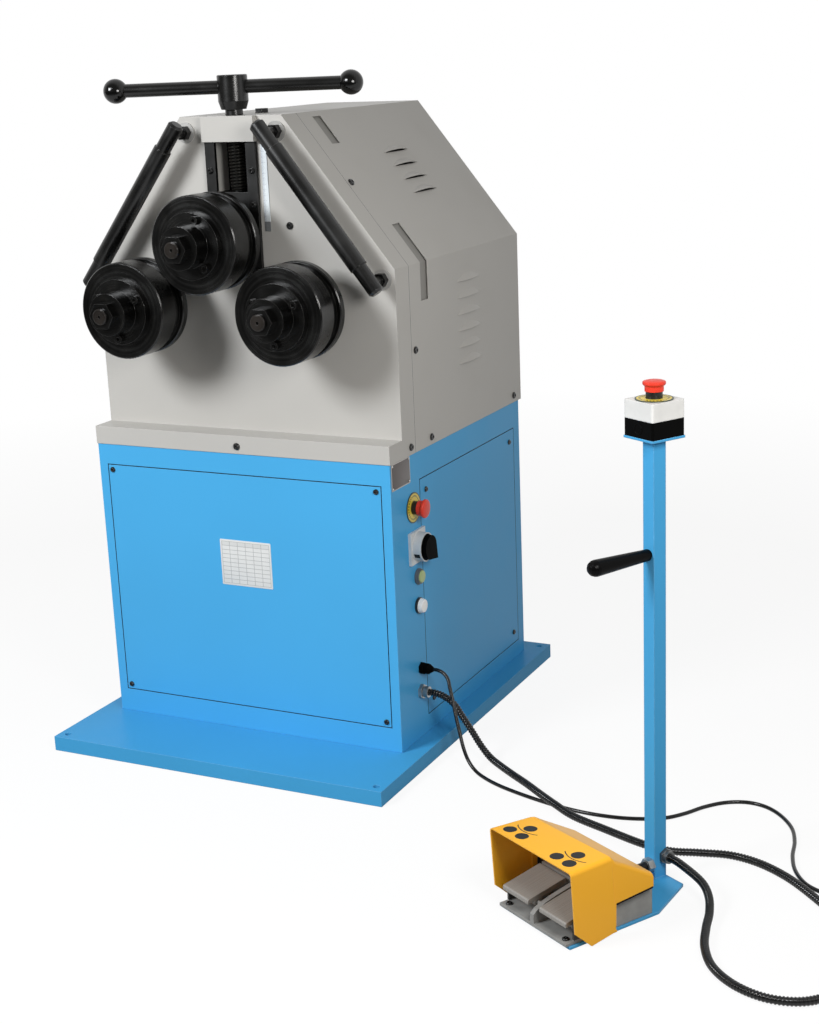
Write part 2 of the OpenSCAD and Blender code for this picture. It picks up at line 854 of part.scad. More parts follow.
module gearbox() {
    wall = 10;
    color([0.30, 0.31, 0.33]) difference() {
        block(-box_half, box_half, y_box, y_box_end, z_deck + deck_t, z_box);
        block(-box_half + wall, box_half - wall, y_box + 42, y_box_end - wall, z_deck + deck_t + 60,
            z_box - wall);
        block(-box_half + 30, box_half - 30, y_box - 1, y_box_end + 1, z_deck, z_deck + deck_t + 45);
        translate([0, 0, z_lower]) rod_y(pinion_r + run_gap, y_box - 1, y_box + 50);
        translate([0, motor_y, motor_z]) rod_x(20, box_half - wall - 1, box_half + 1);
    }
}

module gear(teeth, bore) {
    difference() {
        translate([0, y_gear_end, 0]) rotate([90, 0, 0]) linear_extrude(gear_w) polygon(gear_points(teeth));
        rod_y(bore, y_gear - 1, y_gear_end + 1);
    }
}

module drive_pinion() {
    color([0.45, 0.45, 0.44]) translate([0, 0, z_lower]) {
        translate([0, y_gear_end, 0]) rotate([90, 0, 0]) rotate([0, 0, 180 / pinion_teeth])
            linear_extrude(gear_w) polygon(gear_points(pinion_teeth));
        rod_y(pinion_r + 6, y_rear_end + 1, y_gear + eps);
        rod_y(pinion_r, y_rear + 4, y_box + 40);
    }
}

module shaft_bushes() {
    color([0.72, 0.55, 0.28]) both_sides() translate([roll_half, 0, z_lower]) {
        difference() {
            rod_y(bush_r, y_plate, y_seam);
            rod_y(journal_r + run_gap, y_plate - 1, y_seam + 1);
        }
        difference() {
            rod_y(bush_r, y_rear, y_rear_end);
            rod_y(tail_r + run_gap, y_rear - 1, y_rear_end + 1);
        }
    }
}

// rolls: drawn about the y axis at their own centre

module shaft_front() {
    rod_y(stud_r - 1.5, roll_front - 72, roll_front - 70);
    rod_y(stud_r, roll_front - 70.5, roll_front + eps);
    rod_y(seat_r, roll_front, roll_back + eps);
}

module lower_shaft() {
    difference() {
        union() {
            shaft_front();
            rod_y(collar_r, roll_back, y_plate - collar_gap);
            rod_y(journal_r, y_plate - collar_gap - eps, y_rear - slide_gap);
            rod_y(tail_r, y_rear - slide_gap - eps, y_gear_end + 6);
        }
        rod_y(3, roll_front - 73, roll_front - 66);
    }
}

module upper_shaft() {
    difference() {
        union() {
            shaft_front();
            rod_y(collar_r, roll_back, y_plate - gib_t - 3);
            rod_y(shoulder_r, y_plate - gib_t - 3 - eps, carriage_y0 - slide_gap);
            rod_y(journal_r, carriage_y0 - slide_gap - eps, y_rear_end + eps);
            rod_y(shoulder_r, y_rear_end, y_rear_end + gib_t);
        }
        rod_y(3, roll_front - 73, roll_front - 66);
    }
}

// one ring or spacer between two y planes, its outer edges broken by edge
module ring_body(r, y0, y1, edge) {
    rotate([90, 0, 0]) rotate_extrude($fn = 96) polygon([[seat_r + seat_gap, -y1], [r - edge, -y1],
        [r, -y1 + edge], [r, -y0 - edge], [r - edge, -y0], [seat_r + seat_gap, -y0]]);
}

module rings() {
    spacer_y = roll_front + front_ring_w;
    rear_y = spacer_y + spacer_w;
    ring_body(ring_d / 2, roll_front, spacer_y - seat_gap, ring_edge);
    ring_body(spacer_d / 2, spacer_y, rear_y - seat_gap, ring_edge / 4);
    ring_body(ring_d / 2, rear_y, roll_back, ring_edge);
}

module at_cap_screws(turn) {
    for (k = [0:2])
        translate([cap_screw_r * cos(turn + 120 * k), 0, cap_screw_r * sin(turn + 120 * k)]) children();
}

module cap() {
    difference() {
        union() {
            rod_y(cap_flange_r, roll_front - cap_flange_t, roll_front);
            rod_y(cap_boss_r, roll_front - cap_l, roll_front - cap_flange_t + eps);
        }
        rod_y(stud_r + seat_gap, roll_front - cap_l - 1, roll_front + 1);
    }
}

module fasteners(turn) {
    difference() {
        rod_y(nut_af / 2 / cos(30), roll_front - cap_l - nut_t, roll_front - cap_l, 6);
        rod_y(stud_r + seat_gap, roll_front - cap_l - nut_t - 1, roll_front);
    }
    at_cap_screws(turn) difference() {
        rod_y(cap_head_r, roll_front - cap_flange_t - cap_head_h, roll_front - cap_flange_t);
        rod_y(cap_head_r / 2, roll_front - cap_flange_t - cap_head_h - 1, roll_front - cap_flange_t - 3, 6);
    }
}

module at_left() {
    translate([-roll_half, 0, z_lower]) children();
}

module at_right() {
    translate([roll_half, 0, z_lower]) children();
}

module at_top() {
    translate([0, 0, z_upper]) children();
}

module left_shaft() {
    color([0.30, 0.30, 0.30]) at_left() lower_shaft();
}

module left_rings() {
    color([0.09, 0.09, 0.09]) at_left() rings();
}

module left_cap() {
    color([0.11, 0.11, 0.11]) at_left() cap();
}

module left_fasteners() {
    color([0.13, 0.13, 0.13]) at_left() fasteners(30);
}

module left_gear() {
    color([0.45, 0.45, 0.44]) at_left() gear(gear_teeth, tail_r + seat_gap);
}

module right_shaft() {
    color([0.30, 0.30, 0.30]) at_right() lower_shaft();
}

module right_rings() {
    color([0.09, 0.09, 0.09]) at_right() rings();
}

module right_cap() {
    color([0.11, 0.11, 0.11]) at_right() cap();
}

module right_fasteners() {
    color([0.13, 0.13, 0.13]) at_right() fasteners(30);
}

module right_gear() {
    color([0.45, 0.45, 0.44]) at_right() gear(gear_teeth, tail_r + seat_gap);
}

module top_shaft() {
    color([0.30, 0.30, 0.30]) at_top() upper_shaft();
}

module top_rings() {
    color([0.09, 0.09, 0.09]) at_top() rings();
}

module top_cap() {
    color([0.11, 0.11, 0.11]) at_top() cap();
}

module top_fasteners() {
    color([0.13, 0.13, 0.13]) at_top() fasteners(70);
}

// carriage, screw and handle

module carriage() {
    color([0.20, 0.20, 0.20]) difference() {
        block(-carriage_half, carriage_half, carriage_y0, carriage_y1, carriage_z0, carriage_z1);
        at_top() rod_y(journal_r + run_gap, carriage_y0 - 1, carriage_y1 + 1);
        translate([0, screw_y, 0]) {
            rod_z(neck_r + run_gap, cavity_z0 + 1, carriage_z1 + 1);
            rod_z(grip_collar_r + slide_gap, cavity_z0, cavity_z1);
        }
    }
}

module press_screw() {
    color([0.38, 0.38, 0.37]) translate([0, screw_y, 0]) {
        rod_z(grip_collar_r, cavity_z0 + slide_gap, cavity_z1 - slide_gap);
        rod_z(neck_r, cavity_z0 + slide_gap, carriage_z1 + slide_gap + eps);
        rod_z(screw_r, carriage_z1 + slide_gap, hub_z0 + 24);
    }
}

module handle_hub() {
    color([0.10, 0.10, 0.10]) translate([0, screw_y, 0]) difference() {
        rotate_extrude() polygon([[0, z_top + hub_foot], [hub_neck_r, z_top + hub_foot],
            [hub_neck_r, hub_z0], [hub_r - 5, hub_z0], [hub_r, hub_z0 + 15], [hub_r, hub_z1 - 1.5],
            [hub_r - 1.5, hub_z1], [0, hub_z1]]);
        rod_z(screw_r + seat_gap, z_top, hub_z0 + 24);
        rotate([0, 0, handle_turn]) translate([0, 0, bar_z]) rod_x(bar_d / 2 + seat_gap, -50, 50);
    }
}

module at_handle() {
    translate([0, screw_y, bar_z]) rotate([0, 0, handle_turn]) children();
}

module handle_bar() {
    half = handle_span / 2 - ball_in;
    color([0.11, 0.11, 0.11]) at_handle() rod_x(bar_d / 2, -half, half);
}

module handle_balls() {
    color([0.05, 0.05, 0.05]) at_handle() both_sides() translate([handle_span / 2, 0, 0]) difference() {
        rotate([0, 90, 0]) rotate_extrude($fn = 40) polygon(concat([[0, -ball_d / 2]],
            [for (k = [1:17]) ball_d / 2 * [sin(10 * k), -cos(10 * k)]], [[0, ball_d / 2]]));
        rod_x(bar_d / 2 + seat_gap, -ball_d, -ball_in);
    }
}

// controls, each drawn with local z out of the face it stands on

module estop_collar() {
    cylinder(h = disc_t, r = disc_r);
    translate([0, 0, disc_t - 0.1]) difference() {
        cylinder(h = estop_collar_h + 0.1, r = estop_collar_r);
        translate([0, 0, 0.1]) cylinder(h = estop_collar_h + 1, r = estop_stem_r + slide_gap);
    }
}

module estop_head() {
    foot = disc_t + estop_travel + 0.6;
    cup = disc_t + estop_collar_h + estop_travel + 0.6;
    bore = estop_collar_r + 0.4;
    skirt = foot + 5.2;
    rotate_extrude() polygon([[0, foot], [estop_stem_r, foot], [estop_stem_r, cup], [bore, cup],
        [bore, skirt], [estop_neck_r, skirt], [estop_neck_r, cup + 1.2],
        [estop_head_r - 0.8, cup + 3.4], [estop_head_r, cup + 4.6], [estop_head_r, cup + 7.4],
        [estop_head_r - 1.2, cup + 8.8], [estop_head_r - 5, cup + 9.9], [estop_head_r - 11, cup + 10.6],
        [0, cup + 10.8]]);
}

module on_lid() {
    at_stand() translate([0, 0, post_top + stand_cap_t + box_base_h + box_lid_h]) children();
}

module estop_collars() {
    color([0.10, 0.10, 0.10]) {
        on_wall(estop_at) estop_collar();
        on_lid() estop_collar();
    }
}

module estop_button() {
    color([0.80, 0.07, 0.05]) on_wall(estop_at) estop_head();
}

module stand_estop_button() {
    color([0.80, 0.07, 0.05]) on_lid() estop_head();
}

module isolator_body() {
    color([0.50, 0.51, 0.52]) on_wall(isolator_at) difference() {
        union() {
            translate([-isolator_half, -isolator_half, 0])
                cube([2 * isolator_half, 2 * isolator_half, isolator_t]);
            translate([0, 0, isolator_t - eps]) cylinder(h = ring_top - isolator_t + eps, r = ring_r);
        }
        translate([0, 0, ring_top - dial_depth]) cylinder(h = dial_depth + 1, r = ring_r - ring_wall);
        translate([0, 0, isolator_t - 1]) cylinder(h = ring_top, r = spindle_r + run_gap);
    }
}

module isolator_knob() {
    dial = ring_top - dial_depth + slide_gap;
    lever = ring_top + 0.5;
    color([0.05, 0.05, 0.05]) on_wall(isolator_at) {
        translate([0, 0, isolator_t]) cylinder(h = dial - isolator_t + 1, r = spindle_r);
        translate([0, 0, dial]) cylinder(h = lever + 0.1 - dial, r = knob_r);
        translate([0, 0, lever]) linear_extrude(lever_h)
            polygon(concat([for (c = [100:10:340]) (knob_r - 1.5) * [cos(c), sin(c)]],
                [[knob_r + 3, knob_r + 3]]));
    }
}

module start_bezel() {
    color([0.14, 0.14, 0.15]) on_wall(start_at) difference() {
        union() {
            cylinder(h = 4, r = bezel_r);
            cylinder(h = 8, r = bezel_r - 1.5);
        }
        translate([0, 0, -1]) cylinder(h = 10, r = button_r + slide_gap);
    }
}

module start_button() {
    color([0.62, 0.72, 0.10]) on_wall(start_at) translate([0, 0, 4]) rotate_extrude()
        polygon([[0, 0], [button_r, 0], [button_r, 6], [button_r - 1, 7], [0, 7.5]]);
}

module pilot_lamp() {
    color([0.85, 0.85, 0.83]) on_wall(lamp_at) rotate_extrude() polygon([[0, 0], [bezel_r, 0], [bezel_r, 4.5],
        [bezel_r - 1, 5.5], [lens_r, 5.5], [lens_r, 9.5], [lens_r - 0.8, 10.2], [lens_r - 0.8, 12.4],
        [lens_r - 2, 14], [0, 14.6]]);
}

module mains_gland() {
    nose_z = 17;
    color([0.06, 0.06, 0.06]) on_wall(lead_gland) {
        cylinder(h = 8, r = 12.5, $fn = 6);
        translate([0, 0, 7]) cylinder(h = 4, r = 9.5);
        translate([0, 0, 10]) cylinder(h = 8, r = 11.5, $fn = 6);
        rotate_extrude() polygon([[0, nose_z], [9.5, nose_z], [9.5, nose_z + 2],
            [lead_r + 1.2, lead_gland_l], [0, lead_gland_l]]);
    }
}

module hose_ferrule(l) {
    cylinder(h = 7, r = 15, $fn = 6);
    translate([0, 0, 6.5]) cylinder(h = l - 12.5, r = 9.5);
    translate([0, 0, l - 10]) cylinder(h = 10, r = hose_d / 2 + 4);
}

module hose_glands() {
    color([0.62, 0.62, 0.60]) {
        on_wall(hose_gland) hose_ferrule(hose_gland_l);
        at_stand() {
            translate([post_half, stand_hose_b, stand_hose_z]) rotate([0, 90, 0]) {
                cylinder(h = 6, r = 13.5, $fn = 6);
                translate([0, 0, 5.5]) cylinder(h = stand_gland_l - 5.5, r = hose_d / 2 + 3.5);
            }
            translate([pipe_a, 0, pipe_z]) {
                rod_y(8, -92, -post_half);
                rod_y(13, -88, -77, 6);
                rod_y(13, -post_half - 12, -post_half, 6);
            }
        }
    }
}

// pedal stand

module stand_frame() {
    po = pedal_shift;
    color([0.16, 0.55, 0.82]) at_stand() {
        linear_extrude(stand_plate_t) polygon([[po - 88, -263], [po + 88, -263], [po + 88, -80],
            [po + 44, post_half], [po - 44, post_half], [po - 88, -80]]);
        difference() {
            block(-post_half, post_half, -post_half, post_half, stand_plate_t - eps, post_top + eps);
            block(-post_half + 2, post_half - 2, -post_half + 2, post_half - 2, stand_plate_t,
                post_top - 1);
        }
        block(-33.6, 33.6, -33.6, 33.6, post_top, post_top + stand_cap_t);
    }
}

// square with round corners
function round_square(half, r) = [for (q = [0:3]) for (k = [0:5])
    let (c = 90 * q + 18 * k)
    (half - r) * [q == 0 || q == 3 ? 1 : -1, q < 2 ? 1 : -1] + r * [cos(c), sin(c)]];

module round_box(half, r, z0, z1) {
    translate([0, 0, z0]) linear_extrude(z1 - z0) polygon(round_square(half, r));
}

module control_box_base() {
    h = stand_box / 2;
    z0 = post_top + stand_cap_t;
    color([0.06, 0.06, 0.06]) at_stand() difference() {
        union() {
            round_box(h, box_corner_r, z0, z0 + box_base_h);
            translate([0, 0, z0 + box_base_h / 2]) rod_y(9, -h - 1, 0);
        }
        block(-h + 2.5, h - 2.5, -h + 2.5, h - 2.5, z0 + 2.5, z0 + box_base_h + 1);
        translate([0, 0, z0 + box_base_h / 2]) rod_y(7.5, -h - 2, -h - 0.3);
    }
}

module control_box_lid() {
    h = stand_box / 2;
    z0 = post_top + stand_cap_t + box_base_h;
    color([0.86, 0.86, 0.84]) at_stand() difference() {
        round_box(h, box_corner_r, z0, z0 + box_lid_h);
        block(-h + 2.5, h - 2.5, -h + 2.5, h - 2.5, z0 - 1, z0 + box_lid_h - 2.5);
    }
}

module stand_grip() {
    color([0.05, 0.05, 0.05]) at_stand() translate([0, -post_half, grip_z]) rotate([90, 0, 0])
        rotate_extrude() polygon([[0, 0], [grip_root_r - 1, 0], [grip_root_r, 2], [grip_r, 108],
            [grip_r - 0.6, 112], [grip_r - 2.8, 117], [grip_r - 7, 121], [0, 122.5]]);
}

module pedal_base() {
    c = casting_half;
    p = stand_plate_t;
    color([0.48, 0.48, 0.47]) at_pedals() difference() {
        union() {
            block(-c, c, -268, -92, p, p + 5);
            block(-c, c, -180, -92, p, p + 10);
            yz_prism([[-180, p + 9], [-92, p + 9], [-92, 60], [-100, 60], [-176, 55], [-180, 55]], -c, c);
            yz_prism([[-268, p + 4], [-179, p + 4], [-179, 53], [-205, 48.5], [-228, 43.5], [-246, 38.5],
                [-260, 32.5], [-268, 26]], -fin_half, fin_half);
            block(-c, -c + 4, -252, -234, p + 4, 41);
            block(c - 4, c, -252, -234, p + 4, 41);
        }
        translate([0, pivot_b, pivot_z]) rod_x(pin_r + seat_gap, -c - 1, c + 1);
        block(-c + 6, c - 6, -168, -102, p + 12, 46);
    }
}

module pedal_guard() {
    g = guard_half;
    color([0.95, 0.52, 0.05]) at_pedals() {
        difference() {
            yz_prism([[-267, 30], [-231, 6], [-176, 6], [-176, 55], [-103, 60], [-100, 60],
                [-100, 82], [-176, 127], [-184, 138], [-267, 136]], -g, g);
            yz_prism([[-300, 132.5], [-185.5, 135], [-178.5, 125], [-103, 80.3], [-103, -10], [-300, -10]],
                -g + guard_t, g - guard_t);
        }
        both_sides() block(casting_half, g - guard_t + eps, -235, -176, 6, 9);
    }
}

module pedal(a0, a1) {
    difference() {
        union() {
            yz_prism([[-264, 34.5], [-264, 40.5], [-262, 42.5], [-188, 57], [-186, 55.5], [-186, 47]], a0,
                a1);
            translate([0, pivot_b, pivot_z]) rod_x(8, a0, a1);
        }
        translate([0, pivot_b, pivot_z]) rod_x(pin_r + run_gap, a0 - 1, a1 + 1);
    }
}

module left_pedal() {
    color([0.66, 0.66, 0.65]) at_pedals() pedal(-pedal_a1, -pedal_a0);
}

module right_pedal() {
    color([0.66, 0.66, 0.65]) at_pedals() pedal(pedal_a0, pedal_a1);
}

module pedal_pin() {
    color([0.55, 0.55, 0.54]) at_pedals() translate([0, pivot_b, pivot_z])
        rod_x(pin_r, -casting_half, casting_half);
}

// cords

lead_points = even_points(curve(lead_route, 6), 78);
hose_points = even_points(curve(hose_route, 10), 2 * ribs);

// the coil: two layers, in and out again about a half turn that climbs
function coil_point(f) =
    let (d = abs(f - 810))
    let (k = min(1, d / 90))
    let (r = coil_out - coil_step * min(f, 1620 - f) / 360 - (d < 90 ? coil_dip * (1 - k) * 0.5 : 0))
    let (h = f < 720 ? 0 : f > 900 ? 1 : (1 - cos(f - 720)) / 2)
    [coil_at[0] + r * sin(f), coil_at[1] - r * cos(f), coil_z + coil_rise * h];
coil_last = 1530;
coil_end = coil_point(coil_last);
coil_tail = 66;
coil_points = concat([for (f = [0:15:coil_last]) coil_point(f)],
    [for (k = [1:4]) coil_end + [0, coil_tail * k / 4, 0]]);

// the least gap of the coil to itself, on its points
coil_gap = min([for (i = [0:len(coil_points) - 1]) for (j = [i + 12:1:len(coil_points) - 1])
    norm(coil_points[i] - coil_points[j])]) - lead_d;
echo(coil_gap = coil_gap);

module mains_lead() {
    color([0.05, 0.05, 0.05]) tube(lead_points, lead_r, 10);
}

module mains_coil() {
    color([0.05, 0.05, 0.05]) tube(coil_points, lead_r, 6);
}

module mains_plug() {
    p = coil_end + [0, coil_tail, 0];
    tie_w = 5;
    tie_in = coil_out - 1.75 * coil_step - lead_r - 0.6;
    tie_out = coil_out - 0.75 * coil_step + lead_r + 0.6;
    tie_top = coil_z + coil_rise + lead_r + 0.4;
    color([0.06, 0.06, 0.06]) {
        translate([p[0], p[1], p[2]]) {
            rod_y(7, 0, 14);
            block(-18, 18, 13, 58, -p[2] + 0.5, -p[2] + 26.5);
            for (x = [-9.5, 9.5]) translate([x, 0, 0]) rod_y(2.4, 57, 76);
        }
        translate([coil_at[0], coil_at[1], 0]) difference() {
            block(-tie_out - 0.9, -tie_in + 0.9, -tie_w / 2, tie_w / 2, 0.1, tie_top + 0.9);
            block(-tie_out, -tie_in, -tie_w, tie_w, 1, tie_top);
        }
    }
}

module hose() {
    color([0.16, 0.16, 0.17]) ribbed(hose_points, hose_r, hose_r - 1, hose_r - 2.4, 8);
}

base_plate();
cabinet_shell();
front_panel();
side_panel();
deck_plate();
cover_screws();
front_frame();
rear_frame();
hood();
top_block();
slide_gibs();
height_scale();
guide_bars();
bar_studs();
motor();
gearbox();
drive_pinion();
shaft_bushes();
left_shaft();
left_rings();
left_cap();
left_fasteners();
left_gear();
right_shaft();
right_rings();
right_cap();
right_fasteners();
right_gear();
top_shaft();
top_rings();
top_cap();
top_fasteners();
carriage();
press_screw();
handle_hub();
handle_bar();
handle_balls();
estop_collars();
estop_button();
isolator_body();
isolator_knob();
start_bezel();
start_button();
pilot_lamp();
mains_gland();
hose_glands();
stand_frame();
control_box_base();
control_box_lid();
stand_estop_button();
stand_grip();
pedal_base();
pedal_guard();
left_pedal();
right_pedal();
pedal_pin();
mains_lead();
mains_coil();
mains_plug();
hose();
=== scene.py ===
"""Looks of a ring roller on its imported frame: finishes, cords and small pieces."""

import bpy
import numpy as np
from bpy.props import FloatProperty, FloatVectorProperty, IntProperty, PointerProperty
from mathutils import Matrix, Vector


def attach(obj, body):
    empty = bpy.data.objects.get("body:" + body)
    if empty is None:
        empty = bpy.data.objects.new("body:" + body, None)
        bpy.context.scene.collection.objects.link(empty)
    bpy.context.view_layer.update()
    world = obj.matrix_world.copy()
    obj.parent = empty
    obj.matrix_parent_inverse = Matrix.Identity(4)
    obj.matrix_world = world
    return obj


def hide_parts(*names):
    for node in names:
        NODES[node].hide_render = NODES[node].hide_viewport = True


bl_info = {
    "name": "Ring roller looks",
    "version": (1, 0, 0),
    "blender": (4, 5, 0),
    "location": "3D View > Sidebar > Ring roller",
    "description": "Finishes, cords and small pieces of a ring roller on its packed frame",
    "category": "Object",
}

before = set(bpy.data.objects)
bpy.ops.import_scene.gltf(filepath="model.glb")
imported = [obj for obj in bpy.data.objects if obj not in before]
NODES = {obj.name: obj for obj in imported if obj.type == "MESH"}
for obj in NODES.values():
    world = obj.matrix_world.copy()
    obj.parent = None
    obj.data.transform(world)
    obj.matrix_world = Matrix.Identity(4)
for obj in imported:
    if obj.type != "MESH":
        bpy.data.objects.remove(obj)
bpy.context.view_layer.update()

# places on the machine and its stand, in metres
WALL_X = 0.330
SEAM_Y = -0.1395
PLATE_Y = -0.1955
SLOPE_TOP = (0.1105, 1.241)
SLOPE_LOW = (0.3315, 0.961)
SLOT_Y = (-0.0905, -0.0585)
ROLL_FRONT = -0.350
ROLL_CENTRES = {"left": (-0.170, 0.893), "right": (0.170, 0.893), "top": (0.0, 1.018)}
SCREW_AXIS = (0.0, -0.178)
BAR_TOP = (0.099, -0.2455, 1.2116)
BAR_LOW = (0.306, -0.2455, 0.942)
BAR_OVER = 0.0225
STAND_AT = (0.923, -0.497)
STAND_TURN = np.radians(-30.0)
PEDAL_SHIFT = 0.010
LID_TOP = 0.813
ESTOP_AT = (-0.157, 0.5006)
ISOLATOR_AT = (-0.153, 0.423)
LAMP_AT = (-0.152, 0.302)
FRONT_COVER = ((-0.30975, 0.07925), (0.30975, 0.56275))
SIDE_COVER = ((-0.12575, 0.06525), (0.34075, 0.54875))
DATA_PLATE_AT = (-0.205, 0.5785)
CHART_AT = (0.003, 0.382)

# the cords' routes, in millimetres as they are drawn
LEAD_ROUTE = (
    (357, -152, 172), (365, -152, 172), (376, -153.2, 169.4), (385.5, -156, 164),
    (392.5, -160, 156), (397, -165, 146), (408, -176, 122), (419, -188, 97),
    (431, -200, 72), (445, -213, 43), (460, -223, 22), (480, -234, 9),
    (506, -248, 4.4), (540, -266, 3.9), (580, -282, 3.9), (626, -297, 3.9),
    (676, -310, 3.9), (732, -318, 3.9), (790, -316, 3.9), (838, -304, 3.9),
    (874, -285, 3.9), (900, -256, 3.9), (924, -218, 3.9), (954, -187, 3.9),
    (990, -172, 3.9), (1026, -178, 3.9), (1060, -204, 3.9), (1090, -246, 3.9),
    (1107, -295, 3.9), (1117, -350, 3.9), (1134, -400, 3.9), (1161, -439, 3.9),
    (1194, -458, 3.9), (1228, -464, 4.9), (1254.8, -464, 4.9), (1262, -464, 4.9),
)
HOSE_ROUTE = (
    (348, -156, 125), (360, -156, 125), (376.5, -156, 121.6), (392, -156, 114),
    (405, -156, 102.5), (415, -156, 88), (427, -157, 72), (440, -158, 54.5),
    (454, -161, 36.5), (469, -166, 22), (486, -175, 13), (508, -190, 10),
    (548, -221, 10), (594, -260, 13.8), (636, -296, 15.8), (676, -324, 14),
    (722, -349, 9), (794, -376, 7.4), (868, -404, 7.4), (920, -413, 7.4),
    (970, -401, 7.4), (1022, -391, 7.4), (1074, -402, 7.4), (1128, -433, 7.4),
    (1180, -479, 7.4), (1232, -535, 7.4), (1274, -602, 7.4), (1293, -676, 7.4),
    (1284, -744, 7.4), (1248, -790, 7.4), (1196, -805, 7.4), (1142, -790, 7.4),
    (1096, -752, 7.4), (1068, -700, 7.4), (1054, -646, 8.5), (1047, -604, 13),
    (1036, -571, 23), (1016, -546, 33), (971.2, -513.1, 40), (950.1, -501.1, 41),
)
COIL_AT = (1262.0, -414.0, 4.9)
COIL_OUT = 50.0
COIL_STEP = 7.9
COIL_TAIL = 66.0

# the guard's two sheets, in millimetres on the stand: back, foot, left of the top and right of the top
GUARD_FRONT = (
    (-268, 31, 136, 136), (-252, 15.5, 135.1, 136.4), (-237.6, 0.6, 134.3, 136.8),
    (-220, 3.6, 133.4, 137.2), (-204, 6.2, 132.5, 137.6), (-187.5, 9, 131.6, 138),
)
GUARD_REAR = (
    (-187, 16, 132.4, 135.2), (-183, 16, 131.6, 134.2), (-177.2, 16, 128.1, 128.3),
    (-176.6, 55, 127.4, 127.4), (-160, 56.1, 117.4, 117.4), (-130, 58.2, 99.8, 99.8),
    (-103, 60, 83.8, 83.8), (-100, 60, 82, 82),
)
# its two sets of marks, in metres: three discs and the centre and radius of an arc
GUARD_MARKS = (
    ((-0.0803, -0.2464), (-0.0625, -0.2190), (-0.0483, -0.2472), (-0.0615, -0.1915, 0.0425)),
    ((0.0412, -0.2480), (0.0598, -0.2210), (0.0722, -0.2486), (0.0615, -0.1905, 0.0450)),
)

# camera, lamps and floor, in metres
CAMERA_AT = (1.7332, -2.9628, 1.3517)
CAMERA_AXES = ((0.89751, 0.43913, -0.04049), (-0.0812, 0.2547, 0.9636), (0.43346, -0.86155, 0.26428))
CAMERA_LENS = 59.66
KEY_LAMP = {"place": (-1.00, -2.60, 2.20), "size": 0.9, "tone": (0.98, 1.0, 1.02)}
FILL_LAMP = {"place": (1.85, -1.50, 1.50), "size": 0.6, "tone": (1.0, 0.985, 0.96)}
LAMPS_LOOK_AT = (0.15, -0.2, 0.65)
FLOOR_HALF = 60.0
FLOOR_Z = -0.0004


def colour(name, about, value):
    """A colour property with its name, description and default."""
    return FloatVectorProperty(name=name, description=about, default=value, subtype="COLOR", size=3,
                               min=0.0, max=1.0)


def length(name, about, value):
    """A length property in metres."""
    return FloatProperty(name=name, description=about, default=value, min=0.0, unit="LENGTH", precision=4)


def amount(name, about, value):
    """A number property that isn't below 0."""
    return FloatProperty(name=name, description=about, default=value, min=0.0)


class PaintSettings(bpy.types.PropertyGroup):
    """Colours of the painted and moulded pieces."""

    blue: colour("Cabinet blue", "Enamel of the tray, the cabinet and the stand", (0.068, 0.395, 0.745))
    gray: colour("Frame gray", "Enamel of the front plate, the hood and the nut block", (0.490, 0.478, 0.453))
    orange: colour("Guard orange", "Enamel of the pedal guard", (1.0, 0.470, 0.022))
    red: colour("Stop red", "Plastic of the emergency stop heads", (0.74, 0.045, 0.022))
    legend: colour("Legend yellow", "Disc under the emergency stop", (0.74, 0.58, 0.060))
    housing: colour("Housing white", "Lid of the control box", (0.75, 0.75, 0.735))


class SteelSettings(bpy.types.PropertyGroup):
    """Colours of the bare metal."""

    black: colour("Black steel", "Oiled, blackened steel of the rolls and bars", (0.0018, 0.0018, 0.0017))
    # edges where the blackening has gone, also a painted glint along edges
    worn_and_glint: colour("Worn steel with painted glint", "Edges where the blackening has gone, with a painted glint", (0.075, 0.073, 0.070))
    cut: colour("Cut steel", "Turned and ground steel", (0.42, 0.41, 0.39))
    cast: colour("Cast metal", "Casting of the foot switch", (0.30, 0.30, 0.29))


class CordSettings(bpy.types.PropertyGroup):
    """Sizes of the two cords."""

    lead: length("Lead diameter", "Outside diameter of the mains lead", 0.0072)
    hose: length("Hose diameter", "Outside diameter of the pedal hose over its ribs", 0.014)
    rib: length("Rib height", "Height of the hose's ribs", 0.0011)
    ribs: IntProperty(name="Ribs", description="Number of ribs along the hose", default=320, min=100, max=420)


class StageSettings(bpy.types.PropertyGroup):
    """Lamps, ambient light and floor."""

    key: amount("Key lamp", "Power of the lamp at the front left, in watts", 82.0)
    fill: amount("Fill lamp", "Power of the lamp at the right, in watts", 24.0)
    ambient: amount("Ambient", "Strength of the light from all around", 0.24)
    floor: colour("Floor", "Colour of the floor", (0.28, 0.28, 0.28))


def maths(operation, swapped=False):
    """A method of Value that adds one Math node; swapped puts the other term first."""
    if swapped:
        return lambda self, other: self.calc(operation, other, self)
    return lambda self, *others: self.calc(operation, self, *others)


class Value:
    """A number in a node tree. Operators on it add Math nodes to that tree."""

    def __init__(self, finish, socket):
        self.finish = finish
        self.socket = socket

    def calc(self, operation, *terms):
        return self.finish.node("ShaderNodeMath", {"operation": operation}, dict(enumerate(terms)))

    __add__ = __radd__ = maths("ADD")
    __sub__ = maths("SUBTRACT")
    __rsub__ = maths("SUBTRACT", swapped=True)
    __mul__ = __rmul__ = maths("MULTIPLY")
    __truediv__ = maths("DIVIDE")
    __lt__ = maths("LESS_THAN")
    __gt__ = maths("GREATER_THAN")
    __abs__ = maths("ABSOLUTE")
    turn = maths("ARCTAN2")
    fraction = maths("FRACT")
    sine = maths("SINE")
    root = maths("SQRT")
    most = maths("MAXIMUM")

    def ramp(self, low, high):
        """0 below low, 1 above high and straight between."""
        return self.finish.node("ShaderNodeMapRange", {"clamp": True},
                                {0: self, 1: low, 2: high, 3: 0.0, 4: 1.0})


def reach(u, v):
    """Distance of the point at u and v from the origin."""
    return (u * u + v * v).root()


